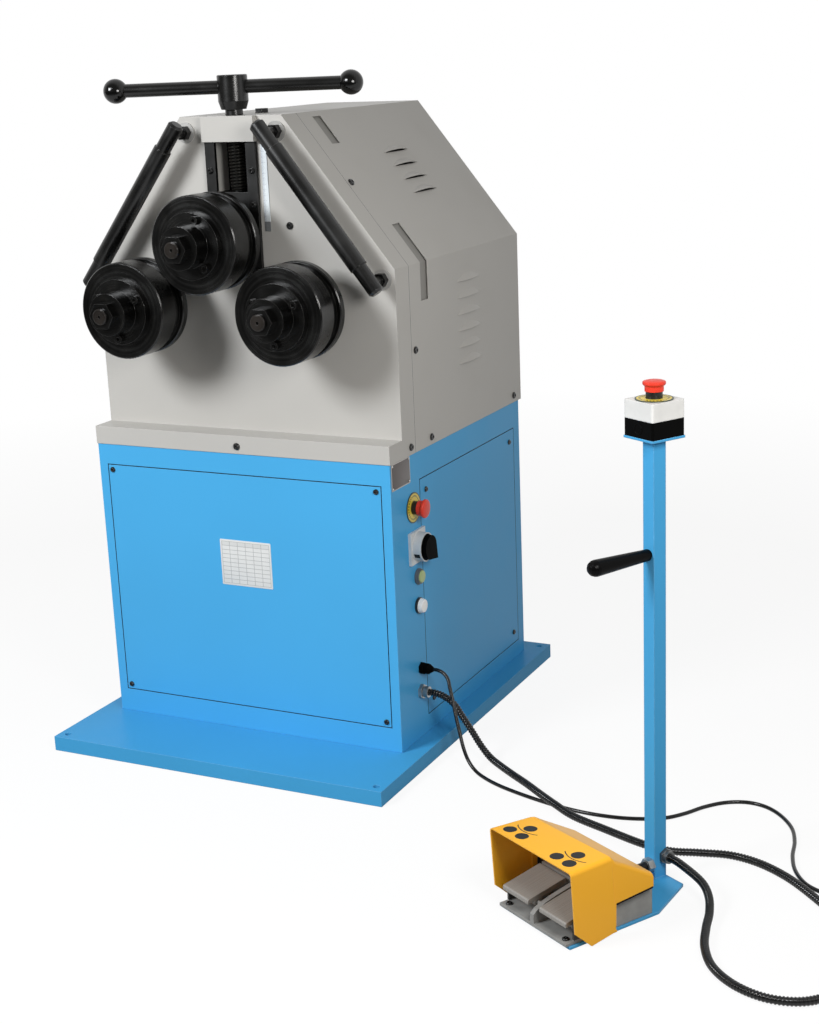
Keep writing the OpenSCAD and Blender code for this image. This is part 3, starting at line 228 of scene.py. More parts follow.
class Finish:
    """The node tree of a new material, or of the world, and the one method that adds nodes to it."""

    def __init__(self, name, world=None):
        self.material = bpy.data.materials.new(name) if world is None else world
        self.material.use_nodes = True
        self.tree = self.material.node_tree
        self.tree.nodes.clear()
        self.base = None
        self.spot = self.node("ShaderNodeTexCoord", out="Object" if world is None else "Generated")

    def node(self, kind, settings=None, sockets=None, out=0):
        """Adds a node: its settings first, then the values or links of its sockets; returns one output."""
        made = self.tree.nodes.new(kind)
        for name, value in (settings or {}).items():
            setattr(made, name, value)
        for key, value in (sockets or {}).items():
            target = made.inputs[key]
            if isinstance(value, Value):
                self.tree.links.new(value.socket, target)
            elif target.type == "RGBA":
                target.default_value = (*value[:3], 1.0)
            else:
                target.default_value = value
        return Value(self, made.outputs[out]) if made.outputs else None

    def place(self):
        """The x, y and z of the point, in metres."""
        split = self.node("ShaderNodeSeparateXYZ", None, {0: self.spot})
        return [Value(self, output) for output in split.socket.node.outputs]

    def noise(self, scale, detail=2.0, stretch=None):
        """Noise of about scale lumps a metre, drawn out by the three factors of stretch."""
        at = self.spot
        if stretch:
            at = self.node("ShaderNodeVectorMath", {"operation": "MULTIPLY"}, {0: self.spot, 1: stretch})
        return self.node("ShaderNodeTexNoise", None, {"Vector": at, "Scale": scale, "Detail": detail})

    def lines(self, along, scale, detail=3.0):
        """Fine lines across the value along."""
        return self.node("ShaderNodeTexNoise", {"noise_dimensions": "1D"},
                         {"W": along, "Scale": scale, "Detail": detail})

    def mix(self, share, first, second):
        """A colour that goes from first to second as share goes from 0 to 1."""
        return self.node("ShaderNodeMix", {"data_type": "RGBA"}, {0: share, 6: first, 7: second}, out=2)

    def over(self, share, tone):
        """Lays a tone over the base colour by a share from 0 to 1."""
        self.base = self.mix(share, self.base, tone)

    def rounded(self, radius):
        """The normal as if every edge had this radius."""
        return self.node("ShaderNodeBevel", {"samples": 6}, {"Radius": radius})

    def edges(self, radius):
        """1 along edges and 0 on flats: how far the rounded normal leans from the face's own."""
        face = self.node("ShaderNodeNewGeometry", out="Normal")
        lean = self.node("ShaderNodeVectorMath", {"operation": "DOT_PRODUCT"},
                         {0: self.rounded(radius), 1: face}, out="Value")
        return (1.0 - lean).ramp(0.02, 0.25)

    def surface(self, roughness, bump, metallic=0.0, spec=0.5):
        """Ends the material in one Principled shader with the base colour. The bump is a height, its depth in
        metres, its strength and, where edges look rounded, their radius."""
        height, depth, strength, *radius = bump
        relief = {"Height": height, "Distance": depth, "Strength": strength}
        if radius:
            relief["Normal"] = self.rounded(*radius)
        shader = self.node("ShaderNodeBsdfPrincipled", None, {
            "Base Color": self.base, "Roughness": roughness, "Metallic": metallic, "Specular IOR Level": spec,
            "Normal": self.node("ShaderNodeBump", None, relief)})
        self.node("ShaderNodeOutputMaterial", None, {"Surface": shader})
        return self.material


def shade(tone, factor):
    """A colour made darker or lighter by a factor."""
    return tuple(min(1.0, part * factor) for part in tone)


# finishes


def enamel(name, tone, radius=0.0015, gloss=0.34, seam=None, spec=0.14, gaps=None):
    """Sprayed enamel: slow drift of tone, orange peel, paler along the edges as a painted highlight and
    duller there, and a dark joint at the y of a seam, with a pale band beside it as a painted highlight, or
    in the gaps round its covers."""
    f = Finish(name)
    drift = f.noise(2.1, 3.0).ramp(0.3, 0.7)
    peel = f.noise(420.0)
    handled = f.noise(9.0, 5.0).ramp(0.52, 0.75)
    edge = f.edges(radius * 1.4)
    f.base = f.mix(drift, shade(tone, 0.965), shade(tone, 1.03))
    # paler along the edges: a painted highlight
    f.over(edge * 0.30, tuple(part + (0.9 - part) * 0.35 for part in tone))
    if seam is not None:
        off = abs(f.place()[1] - seam)
        # pale band beside the seam: a painted highlight; the thin dark line is the joint itself
        f.over((off < 0.0022) * 0.35, tuple(part + (0.95 - part) * 0.5 for part in tone))
        f.over((off < 0.0009) * 0.8, (0.05, 0.048, 0.045))
    if gaps is not None:
        f.over(gaps(*f.place()) * 0.85, shade(tone, 0.06))
    rough = gloss + 0.05 * drift + 0.07 * handled + 0.10 * edge
    return f.surface(rough, (peel, 0.00006, 0.35, radius), spec=spec)


def turned_black(name, centre, tones):
    """Blackened steel turned about a y axis: tool rings, smears of oil, worn edges that also carry a painted
    glint, and a brown stud end.
    """
    f = Finish(name)
    x, y, z = f.place()
    out = reach(x - centre[0], z - centre[1])
    rings = f.lines(out + y, 900.0, 4.0)
    bands = f.lines(out, 210.0).ramp(0.40, 0.66)
    smear = f.noise(16.0, 5.0).ramp(0.42, 0.68)
    dusty = f.noise(46.0, 6.0).ramp(0.55, 0.80)
    edge = f.edges(0.0011)
    f.base = f.mix(smear * 0.6 + bands * 0.4, tones.black, shade(tones.black, 3.2))
    f.over(dusty * 0.30, (0.018, 0.016, 0.014))
    # worn edges, lighter also as a painted glint along them
    f.over(edge * (0.55 + 0.4 * dusty), tones.worn_and_glint)
    stud = (y < ROLL_FRONT - 0.0695) * (out < 0.020)
    f.over(stud * (0.35 + 0.4 * smear), (0.034, 0.028, 0.024))
    rough = 0.15 + 0.12 * smear + 0.06 * bands
    return f.surface(rough, (rings, 0.00022, 0.6, 0.0010), spec=0.40)


def oiled_black(name, tones, stretch=(1.0, 1.0, 1.0), gloss=0.22, washer=None, wear=0.0012):
    """Blackened bar and plate steel: long streaks, oil and worn edges that also carry a painted glint; bright
    behind the y of a washer.
    """
    f = Finish(name)
    streak = f.noise(60.0, 5.0, stretch)
    smear = f.noise(14.0, 4.0).ramp(0.4, 0.7)
    grain = f.noise(900.0)
    edge = f.edges(wear)
    f.base = f.mix(streak.ramp(0.35, 0.7), tones.black, shade(tones.black, 2.0))
    # worn edges, lighter also as a painted glint along them
    f.over(edge * (0.25 + 0.5 * smear), tones.worn_and_glint)
    if washer is not None:
        bright = (f.place()[1] > washer) * (0.7 + 0.3 * smear)
        f.over(bright, (0.46, 0.455, 0.44))
    rough = gloss + 0.14 * smear + 0.08 * streak
    return f.surface(rough, (grain + streak, 0.00005, 0.5, 0.0010))


def moulded(name, tone, gloss=0.35, grain=0.4, radius=0.0012, spec=0.30):
    """Moulded plastic: fine spark grain, faint flow marks and softened edges, painted paler as a highlight.
    """
    f = Finish(name)
    flow = f.noise(24.0, 3.0)
    spark = f.noise(1500.0)
    edge = f.edges(radius)
    f.base = f.mix(flow.ramp(0.35, 0.65), shade(tone, 0.93), shade(tone, 1.05))
    # paler along the edges: a painted highlight
    f.over(edge * 0.22, tuple(part + (1.0 - part) * part**0.5 * 0.4 for part in tone))
    rough = gloss + 0.10 * flow + 0.06 * spark
    return f.surface(rough, (spark, 0.00005, grain, radius), spec=spec)


def cut_steel(name, tone, scale=700.0, rough=0.32):
    """Bare machined steel: short tool lines, a thin film of oil and brighter edges, a painted highlight."""
    f = Finish(name)
    x, y, z = f.place()
    tool = f.lines(x + y * 0.31 + z * 0.77, scale, 4.0)
    film = f.noise(22.0, 5.0).ramp(0.4, 0.7)
    edge = f.edges(0.0010)
    f.base = f.mix(film, tone, shade(tone, 0.68))
    # brighter along the edges: a painted highlight
    f.over(edge * 0.5, shade(tone, 1.45))
    return f.surface(rough + 0.16 * film + 0.08 * tool, (tool, 0.00006, 0.5, 0.0008), 0.9)


def casting(name, tone, gloss=0.5, metallic=0.0, spec=0.35, lumpy=0.4, painted_shade=None):
    """Painted or bare casting: sand texture, drift of tone, lighter edges as a painted highlight, and dark as
    painted shade where the given mask says.
    """
    f = Finish(name)
    sand = f.noise(520.0, 4.0)
    lump = f.noise(38.0, 4.0).ramp(0.35, 0.7)
    edge = f.edges(0.0020)
    f.base = f.mix(lump, shade(tone, 0.86), shade(tone, 1.07))
    # lighter along the edges: a painted highlight
    f.over(edge * 0.45, shade(tone, 1.45))
    # dark where the mask says: painted shade
    if painted_shade is not None:
        f.over(painted_shade(f) * 0.85, (0.016, 0.015, 0.014))
    bump = (sand + lumpy * lump, 0.00022, 0.6, 0.0016)
    return f.surface(gloss + 0.12 * sand, bump, metallic, spec)


# shapes: arrays of points on a grid, rows by columns by three


def solid(points, hoop=False):
    """Vertices and outward faces of a grid whose rows are closed loops, with its ends capped or joined in a
    hoop."""
    rows, cols = points.shape[:2]
    index = np.arange(rows * cols).reshape(rows, cols)
    near, far = index, np.roll(index, -1, axis=1)
    quads = np.stack([near, far, np.roll(far, -1, axis=0), np.roll(near, -1, axis=0)], axis=-1)
    quads = quads[:rows if hoop else rows - 1].reshape(-1, 4)
    caps = [] if hoop else [index[0][::-1], index[-1]]
    verts = points.reshape(-1, 3)
    middle = verts.mean(axis=0)
    a, b, c, d = (verts[quads[:, k]] - middle for k in range(4))
    volume = (a * np.cross(b, c)).sum() + (a * np.cross(c, d)).sum()
    for cap in caps:
        loop = verts[cap] - middle
        volume += (loop[:1] * np.cross(loop[1:-1], loop[2:])).sum()
    faces = quads.tolist() + [cap.tolist() for cap in caps]
    return verts, faces if volume > 0 else [face[::-1] for face in faces]


def joined(parts):
    """One list of vertices and one of faces from several solids."""
    starts = np.cumsum([0] + [len(verts) for verts, _ in parts])
    faces = [[i + start for i in face] for start, (_, part) in zip(starts, parts) for face in part]
    return np.concatenate([verts for verts, _ in parts]), faces


def piece(name, parts, material, angle=35.0, body="frame"):
    """Puts solids into one mesh object at the origin that rides on a body."""
    verts, faces = joined(parts)
    mesh = bpy.data.meshes.new(name)
    mesh.from_pydata(verts.tolist(), [], faces)
    mesh.validate()
    mesh.polygons.foreach_set("use_smooth", np.ones(len(mesh.polygons), bool))
    mesh.set_sharp_from_angle(angle=np.radians(angle))
    mesh.materials.append(material)
    made = bpy.data.objects.new(name, mesh)
    bpy.context.scene.collection.objects.link(made)
    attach(made, body)
    return made


def coat(material, *names):
    """Gives CAD nodes a material in their own slots."""
    for name in names:
        slots = NODES[name].material_slots
        if not slots:
            NODES[name].data.materials.append(material)
        for slot in slots:
            slot.material = material


def route(points, count):
    """Cardinal curve through given points, then count + 1 points at even distances along it, in metres."""
    p = np.array(points, float) * 0.001
    a, b, c, d = np.vstack([p[:1], p[:-2]]), p[:-1], p[1:], np.vstack([p[2:], p[-1:]])
    t = (np.arange(24) / 24.0)[None, :, None]
    a, b, c, d = (part[:, None, :] for part in (a, b, c, d))
    curve = 0.5 * (2 * b + (c - a) * t + (2 * a - 5 * b + 4 * c - d) * t**2 + (3 * b - a - 3 * c + d) * t**3)
    curve = np.vstack([curve.reshape(-1, 3), p[-1:]])
    return even(curve, count)


def even(curve, count):
    """count + 1 points at even distances along a line of points."""
    run = np.concatenate([[0.0], np.cumsum(np.linalg.norm(np.diff(curve, axis=0), axis=1))])
    at = np.linspace(0.0, run[-1], count + 1)
    return np.stack([np.interp(at, run, curve[:, k]) for k in range(3)], axis=1)


def tube(path, radius, sides):
    """Circles set across a path, of one radius or one a point; the first column is level."""
    ahead = np.gradient(path, axis=0)
    ahead /= np.linalg.norm(ahead, axis=1, keepdims=True)
    level = np.cross(ahead, [0.0, 0.0, 1.0])
    level /= np.linalg.norm(level, axis=1, keepdims=True)
    up = np.cross(level, ahead)
    turn = around(sides)[None, :, None]
    size = np.broadcast_to(np.asarray(radius, float), (len(path),))[:, None, None]
    return path[:, None, :] + size * (np.cos(turn) * level[:, None, :] + np.sin(turn) * up[:, None, :])


def lathe(profile, count=64):
    """Pairs of radius and height turned about the z axis."""
    r, h = (np.array(profile, float)[:, k, None] for k in range(2))
    turn = around(count)[None, :]
    return np.stack([r * np.cos(turn), r * np.sin(turn), h + 0 * turn], axis=-1)


def around(count):
    """Angles of count points round a circle."""
    return np.linspace(0.0, 2 * np.pi, count, endpoint=False)


def oval_rect(width, height, radius, steps=6):
    """Rectangle with round corners about the origin: four quarter circles set out by the half sizes."""
    quarter = np.linspace(0.0, np.pi / 2, steps)
    turn = (quarter[None, :] + np.arange(4)[:, None] * np.pi / 2).ravel()
    sx = np.repeat([1, -1, -1, 1], steps) * (width / 2 - radius)
    sy = np.repeat([1, 1, -1, -1], steps) * (height / 2 - radius)
    return np.stack([sx + radius * np.cos(turn), sy + radius * np.sin(turn)], axis=1)


def plate(centre, across, up, size, radius, thick, edge):
    """Thin plate: its outline at the foot, at the start of the edge, and set in at the top."""
    across, up = np.array(across, float), np.array(up, float)
    out = np.cross(across, up)
    levels = ((0.0, 0.0), (0.0, thick - edge), (0.3 * edge, thick - 0.3 * edge), (edge, thick))
    rows = []
    for inset, height in levels:
        loop = oval_rect(size[0] - 2 * inset, size[1] - 2 * inset, radius - inset)
        rows.append(np.array(centre) + loop[:, :1] * across + loop[:, 1:] * up + height * out)
    return np.stack(rows)


def stand_place(a, b, z):
    """Points given across, along and above the stand, put into the row frame."""
    c, s = np.cos(STAND_TURN), np.sin(STAND_TURN)
    return np.stack(np.broadcast_arrays(STAND_AT[0] + a * c - b * s, STAND_AT[1] + a * s + b * c, z), axis=-1)


def on_stand(f):
    """In a material: the point's place across and along the stand, from the middle of the pedals."""
    x, y, _ = f.place()
    dx, dy = x - STAND_AT[0], y - STAND_AT[1]
    c, s = float(np.cos(STAND_TURN)), float(np.sin(STAND_TURN))
    return c * dx + s * dy - PEDAL_SHIFT, c * dy - s * dx


def lead_path():
    """The lead's route, then its coil: a spiral that winds in by one step a turn, climbs a layer through half
    a turn and winds out again, and a straight tail to the plug. Turns are in degrees."""
    end, change, climb = 1530.0, 810.0, 180.0
    f = np.arange(0.0, end + 1.0, 5.0)
    from_change = np.abs(f - change)
    dip = COIL_STEP / 4 * np.clip(1.0 - from_change / (climb / 2), 0.0, None)
    r = COIL_OUT - COIL_STEP * np.minimum(f, 2 * change - f) / 360.0 - dip
    rise = np.clip((f - change + climb / 2) / climb, 0.0, 1.0)
    z = COIL_AT[2] + COIL_STEP * (1.0 - np.cos(np.pi * rise)) / 2
    turn = np.radians(f)
    coil = np.stack([COIL_AT[0] + r * np.sin(turn), COIL_AT[1] - r * np.cos(turn), z], axis=1)
    tail = coil[-1] + np.outer(np.arange(1, 12) / 11.0, [0.0, COIL_TAIL, 0.0])
    wound = np.vstack([coil, tail]) * 0.001
    return np.vstack([route(LEAD_ROUTE, 420)[:-1], wound])


# operators, each after the shapes and finishes that only it uses


def soft_lamp(name, power, place, size, tone):
    """Square soft lamp that looks at the middle of the machine."""
    data = bpy.data.lights.new(name, "AREA")
    data.energy, data.size, data.color = power, size, tone
    lamp = bpy.data.objects.new(name, data)
    lamp.rotation_mode = "QUATERNION"
    lamp.rotation_quaternion = (Vector(place) - Vector(LAMPS_LOOK_AT)).to_track_quat("Z", "Y")
    lamp.location = place
    bpy.context.scene.collection.objects.link(lamp)


def seen_rays(tree, backdrop):
    """1 for rays from the camera or through glass, and for rays off gloss that meet the backdrop."""
    path = tree.node("ShaderNodeLightPath")
    rays = [Value(tree, path.socket.node.outputs[name])
            for name in ("Is Camera Ray", "Is Transmission Ray", "Is Glossy Ray")]
    return rays[0].most(rays[1]).most(rays[2] * backdrop)


def ambient_light(scene, ambient):
    """Even ambient light that shows as white to the camera."""
    scene.world = bpy.data.worlds.new("studio")
    f = Finish("studio", scene.world)
    seen = seen_rays(f, f.place()[1].ramp(-0.45, 0.0))
    tone = f.mix(seen, (1.0, 0.985, 0.955), (1.0, 1.0, 1.0))
    strength = ambient + (1.0 - ambient) * seen
    back = f.node("ShaderNodeBackground", None, {"Color": tone, "Strength": strength})
    f.node("ShaderNodeOutputWorld", None, {"Surface": back})


def floor_finish(tone):
    """Floor that shows as white to the camera and still takes the shadow; far from the machine it is as
    white as the world."""
    f = Finish("studio floor")
    fleck = f.noise(3.0)
    x, y, _ = f.place()
    far = reach(x, y).ramp(1.6, 3.4)
    seen = seen_rays(f, y.ramp(-2.4, -1.4))
    f.base = f.mix(seen, f.mix(fleck, shade(tone, 0.985), tone), (0.95, 0.95, 0.95))
    matt = f.node("ShaderNodeBsdfDiffuse", None, {"Color": f.base})
    glow = f.node("ShaderNodeEmission", None, {"Color": (1.0, 1.0, 1.0), "Strength": 1.0})
    both = f.node("ShaderNodeMixShader", None, {0: seen * (0.90 + 0.10 * far), 1: matt, 2: glow})
    f.node("ShaderNodeOutputMaterial", None, {"Surface": both})
    return f.material


class RINGROLLER_OT_stage(bpy.types.Operator):
    """Camera at the photograph's place, two soft lamps, even ambient light and a pale floor"""

    bl_idname = "ring_roller.stage"
    bl_label = "Stage"

    def execute(self, context):
        look = context.scene.ring_roller_stage
        scene = context.scene
        scene.view_settings.view_transform = "Standard"
        data = bpy.data.cameras.new("camera")
        data.lens, data.sensor_width = CAMERA_LENS, 36.0
        data.clip_start, data.clip_end = 0.1, 200.0
        camera = bpy.data.objects.new("camera", data)
        turn = Matrix(CAMERA_AXES).transposed().to_4x4()
        camera.matrix_world = Matrix.Translation(CAMERA_AT) @ turn
        scene.collection.objects.link(camera)
        scene.camera = camera

        soft_lamp("key", look.key, **KEY_LAMP)
        soft_lamp("fill", look.fill, **FILL_LAMP)
        ambient_light(scene, look.ambient)
        mesh = bpy.data.meshes.new("floor")
        corners = [(x * FLOOR_HALF, y * FLOOR_HALF, FLOOR_Z) for x, y in ((-1, -1), (1, -1), (1, 1), (-1, 1))]
        mesh.from_pydata(corners, [], [(0, 1, 2, 3)])
        mesh.materials.append(floor_finish(look.floor))
        floor = bpy.data.objects.new("floor", mesh)
        scene.collection.objects.link(floor)
        return {"FINISHED"}


def cord_finish(name, scale, clean, dusty, gloss, grain):
    """Black sheath of a cord: satin, with about scale patches of dust a metre. The grain is its scale, depth
    and strength."""
    f = Finish(name)
    dust = f.noise(scale, 5.0).ramp(0.45, 0.75)
    f.base = f.mix(dust, clean, dusty)
    return f.surface(gloss + 0.16 * dust, (f.noise(grain[0]), *grain[1:]), spec=0.34)


def plug_body(end):
    """Rounded plug body: superellipse sections carried along y, with a ribbed sleeve behind it."""
    rows = np.array([
        (0.0, 4.9, 4.9, 2.0), (1.5, 5.6, 5.6, 2.0), (3.0, 5.6, 5.6, 2.0), (3.6, 4.9, 4.9, 2.0),
        (5.0, 5.0, 5.0, 2.0), (5.6, 6.1, 6.1, 2.0), (7.4, 6.2, 6.2, 2.0), (8.0, 5.4, 5.4, 2.0),
        (9.4, 5.6, 5.6, 2.0), (10.0, 6.8, 6.8, 2.0), (12.0, 7.0, 7.0, 2.0), (14.5, 8.6, 8.2, 2.2),
        (18.0, 12.0, 10.4, 2.6), (23.0, 15.6, 12.0, 3.2), (30.0, 17.6, 12.8, 4.0),
        (44.0, 17.8, 12.9, 4.4), (53.0, 17.4, 12.7, 4.4), (56.6, 16.2, 11.7, 4.2),
        (58.0, 14.6, 10.2, 4.0)])
    turn = around(48)[None, :]
    y, w, h, n = (rows[:, k, None] for k in range(4))
    c, s = np.cos(turn), np.sin(turn)
    x = w * np.sign(c) * np.abs(c) ** (2 / n)
    z = h * np.sign(s) * np.abs(s) ** (2 / n) + 0.7 * np.clip((y - 10) / 20, 0, 1)
    return solid(np.stack([x, y + 0 * turn, z], axis=-1) * 0.001 + end)


def plug_pins(end):
    """Two round pins with a domed tip: circles carried along y."""
    rows = np.array([(57.0, 2.4), (74.0, 2.4), (75.2, 2.0), (75.9, 1.1)])
    turn = around(24)[None, :]
    y, r = rows[:, 0, None], rows[:, 1, None]
    ring = np.stack([r * np.cos(turn), y + 0 * turn, r * np.sin(turn) + 0.7], axis=-1)
    return [solid((ring + (side, 0.0, 0.0)) * 0.001 + end) for side in (-9.5, 9.5)]


def coil_tie():
    """Flat tie round the coil: a thin rectangle carried round a rounded loop in the xz plane."""
    inner, outer = (oval_rect(16.3 + 2 * grow, 15.8 + 2 * grow, 3.9 + grow) for grow in (0.1, 0.9))
    y = 2.5
    section = np.stack([np.insert(inner, 1, -y, axis=1), np.insert(outer, 1, -y, axis=1),
                        np.insert(outer, 1, y, axis=1), np.insert(inner, 1, y, axis=1)], axis=1)
    centre = np.array([COIL_AT[0] - 40.125, COIL_AT[1], 8.9])
    return solid((section + centre) * 0.001, hoop=True)


class RINGROLLER_OT_mains_lead(bpy.types.Operator):
    """Mains lead with its coil, tie and plug"""

    bl_idname = "ring_roller.mains_lead"
    bl_label = "Mains lead"

    def execute(self, context):
        size = context.scene.ring_roller_cords
        path = lead_path()
        rubber = cord_finish("lead rubber", 70.0, (0.003, 0.003, 0.003), (0.009, 0.009, 0.009), 0.18,
                             (1400.0, 0.00006, 0.5))
        lead = piece("mains_cable", [solid(tube(path, size.lead / 2, 12))], rubber,
                     60.0)
        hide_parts("mains_lead", "mains_coil")
        black = moulded("plug plastic", (0.006, 0.006, 0.006), 0.40, 0.6, spec=0.15)
        plug = piece("lead_plug", [plug_body(path[-1]), coil_tie()], black)
        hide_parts("mains_plug")
        brass = cut_steel("pin brass", (0.55, 0.46, 0.28), 900.0, 0.25)
        pins = piece("plug_pins", plug_pins(path[-1]), brass)
        return {"FINISHED"}


class RINGROLLER_OT_pedal_hose(bpy.types.Operator):
    """Ribbed hose from the cabinet to the pedal stand"""

    bl_idname = "ring_roller.pedal_hose"
    bl_label = "Pedal hose"

    def execute(self, context):
        size = context.scene.ring_roller_cords
        rows = 6 * size.ribs
        path = route(HOSE_ROUTE, rows)
        phase = np.arange(rows + 1) / 6.0 % 1.0
        crest = np.clip(2.2 * (0.5 + 0.5 * np.cos(2 * np.pi * phase)) - 0.5, 0.0, 1.0)
        radius = size.hose / 2 - size.rib * (1.0 - crest)
        plastic = cord_finish("hose plastic", 60.0, (0.0025, 0.0025, 0.0026), (0.007, 0.007, 0.007), 0.16,
                              (900.0, 0.00004, 0.4))
        hose = piece("ribbed_hose", [solid(tube(path, radius, 18))], plastic, 80.0)
        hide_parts("hose")
        return {"FINISHED"}


def cover_gaps(x, y, z):
    """1 in the narrow gaps round the front cover and the right-hand cover."""

    def outline(u, v, low, high, half=0.0010):
        def inside(grow):
            return (u > low[0] - grow) * (u < high[0] + grow) * (v > low[1] - grow) * (v < high[1] + grow)

        return inside(half) * (1.0 - inside(-half))

    front = outline(x, z, *FRONT_COVER) * (y < -0.240)
    side = outline(y, z, *SIDE_COVER) * (x > 0.320)
    return front.most(side)


def slot_backing():
    """Strips a little inside the hood's slots: a band that follows the slope, and one that turns over the
    shoulder, drawn in x and z and carried along y, on both sides."""
    top, low = np.array(SLOPE_TOP), np.array(SLOPE_LOW)
    down = (low - top) / np.linalg.norm(low - top)
    out = np.array([-down[1], down[0]])
    bands = []
    for depth in (0.0046, 0.0056):
        knee = low - out * depth + down * depth * (out[0] - 1.0) / down[0]
        bands.append(([top + down * 0.003 - out * depth, top + down * 0.085 - out * depth],
                      [knee - down * 0.098, knee, [knee[0], low[1] - 0.082]]))
    y = np.array(SLOT_Y) + (-0.008, 0.008)
    parts = []
    for outer, inner in zip(*bands):
        loop = np.array([*outer, *inner[::-1]])
        for side in (-1.0, 1.0):
            x, z = side * loop[:, 0], loop[:, 1]
            parts.append(solid(np.stack([np.stack([x, 0 * x + at, z], axis=1) for at in y])))
    return parts


class RINGROLLER_OT_sheet_metal(bpy.types.Operator):
    """Enamel on the tray, the cabinet, the frame and the hood, and the cover screws"""

    bl_idname = "ring_roller.sheet_metal"
    bl_label = "Cabinet, frame and hood"

    def execute(self, context):
        paint, steel = context.scene.ring_roller_paint, context.scene.ring_roller_steel
        blue = enamel("blue enamel", paint.blue, gaps=cover_gaps)
        # the cabinet blue made darker for the tray: painted shade
        tray = enamel("tray blue enamel with painted shade", shade(paint.blue, 0.88), spec=0.05)
        gray = enamel("gray enamel", paint.gray, 0.0012, 0.40, SEAM_Y, 0.25)
        coat(tray, "base_plate")
        coat(blue, "cabinet_shell", "front_panel", "side_panel")
        coat(gray, "front_frame", "hood", "top_block")
        coat(oiled_black("screw black", steel, wear=0.0004), "cover_screws")
        coat(casting("deck primer", (0.16, 0.16, 0.155)), "deck_plate", "rear_frame")
        # the frame gray made darker for the strips inside the slots: painted shade
        dull = enamel("backing gray with painted shade", shade(paint.gray, 0.62), 0.0012, 0.5)
        piece("slot_backing", slot_backing(), dull)
        return {"FINISHED"}


class RINGROLLER_OT_rolls(bpy.types.Operator):
    """Blackened, turned steel on the three rolls"""

    bl_idname = "ring_roller.rolls"
    bl_label = "Rolls"

    def execute(self, context):
        steel = context.scene.ring_roller_steel
        for side, centre in ROLL_CENTRES.items():
            black = turned_black(side + " roll black", centre, steel)
            coat(black, *(side + part for part in ("_shaft", "_rings", "_cap", "_fasteners")))
        return {"FINISHED"}


def screw_thread():
    """Screw: the radius at height h and turn t is the root plus a trapezoid of h / pitch - t / turn.
    Below it are the plain neck and collar."""
    pitch, crest, root = 0.006, 0.015, 0.0124
    low, high = 1.1003, 1.276
    h = np.arange(low, high, pitch / 10)[:, None]
    turn = around(48)[None, :]
    phase = (h / pitch - turn / (2 * np.pi)) % 1.0
    tooth = np.clip(2.4 - 6.0 * np.abs(phase - 0.5), 0.0, 1.0)
    runout = np.clip(np.minimum(h - low, high - h) / pitch, 0.0, 1.0)
    r = root + (crest - root) * tooth * runout
    flank = np.stack([r * np.cos(turn), r * np.sin(turn), h + 0 * turn], axis=-1)
    neck = lathe([(0.0125, 1.0683), (0.013, 1.0688), (0.013, 1.0892), (0.0125, 1.0897), (0.009, 1.0897),
                  (0.009, 1.1006)], 48)
    axis = np.array([*SCREW_AXIS, 0.0])
    return [solid(flank + axis), solid(neck + axis)]


def thread_steel(steel):
    """Dark threaded steel, darker in the roots than on the crests, with a film of oil."""
    f = Finish("screw steel")
    x, y, _ = f.place()
    out = reach(x - SCREW_AXIS[0], y - SCREW_AXIS[1]).ramp(0.0126, 0.0149)
    film = f.noise(40.0, 4.0).ramp(0.4, 0.7)
    f.base = f.mix(out, (0.002, 0.002, 0.002), (0.014, 0.013, 0.011))
    f.over(film * 0.5, steel.black)
    return f.surface(0.30 + 0.14 * film, (f.noise(800.0), 0.00004, 0.5), 0.2, 0.15)


def rule_metal():
    """Bright rule with graduations every millimetre, longer at five and ten."""
    f = Finish("rule metal")
    x, _, z = f.place()
    across = (x - 0.0636) / 0.012

    def marks(step, reach):
        near = abs((z / step).fraction() - 0.5) * step
        return (near < 0.00013) * (across < reach)

    ink = marks(0.001, 0.30).most(marks(0.005, 0.45)).most(marks(0.010, 0.65))
    brushed = f.lines(x, 4000.0, 2.0)
    foot = z < 1.0460
    f.base = f.mix(ink * 0.85, f.mix(brushed, (0.74, 0.80, 0.84), (0.82, 0.87, 0.90)), (0.03, 0.05, 0.12))
    f.over(foot * 0.8, (0.09, 0.09, 0.09))
    return f.surface(0.30 + 0.12 * brushed, (brushed, 0.00003, 0.4, 0.0004), 0.10)


class RINGROLLER_OT_slide(bpy.types.Operator):
    """Slide, rule and pressing screw with its thread"""

    bl_idname = "ring_roller.slide"
    bl_label = "Slide and pressing screw"

    def execute(self, context):
        steel = context.scene.ring_roller_steel
        coat(oiled_black("slide black", steel, (1.0, 1.0, 0.15), 0.28), "slide_gibs", "carriage")
        coat(rule_metal(), "height_scale")
        screw = piece("screw_thread", screw_thread(), thread_steel(steel), 30.0, "screw")
        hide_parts("press_screw")
        return {"FINISHED"}


def guide_bars():
    """Guide bars: circles along the slanted line of the studs, thinner at both ends, on both sides."""
    top, low = np.array(BAR_TOP), np.array(BAR_LOW)
    ahead = (low - top) / np.linalg.norm(low - top)
    full = np.linalg.norm(low - top) + 2 * BAR_OVER
    end, neck, sleeve = 0.0045, 0.0148, 0.0172
    rows = [(neck - end, 0.0), (neck, end), (neck, 0.057), (sleeve, 0.058)]
    rows = np.array(rows + [(r, full - at) for r, at in rows[::-1]])
    turn = around(40)[None, :, None]
    across = np.array([0.0, 1.0, 0.0])
    ring = np.cos(turn) * across + np.sin(turn) * np.cross(ahead, across)
    right = top - BAR_OVER * ahead + rows[:, 1, None, None] * ahead + rows[:, 0, None, None] * ring
    return [solid(right), solid(right * (-1.0, 1.0, 1.0))]


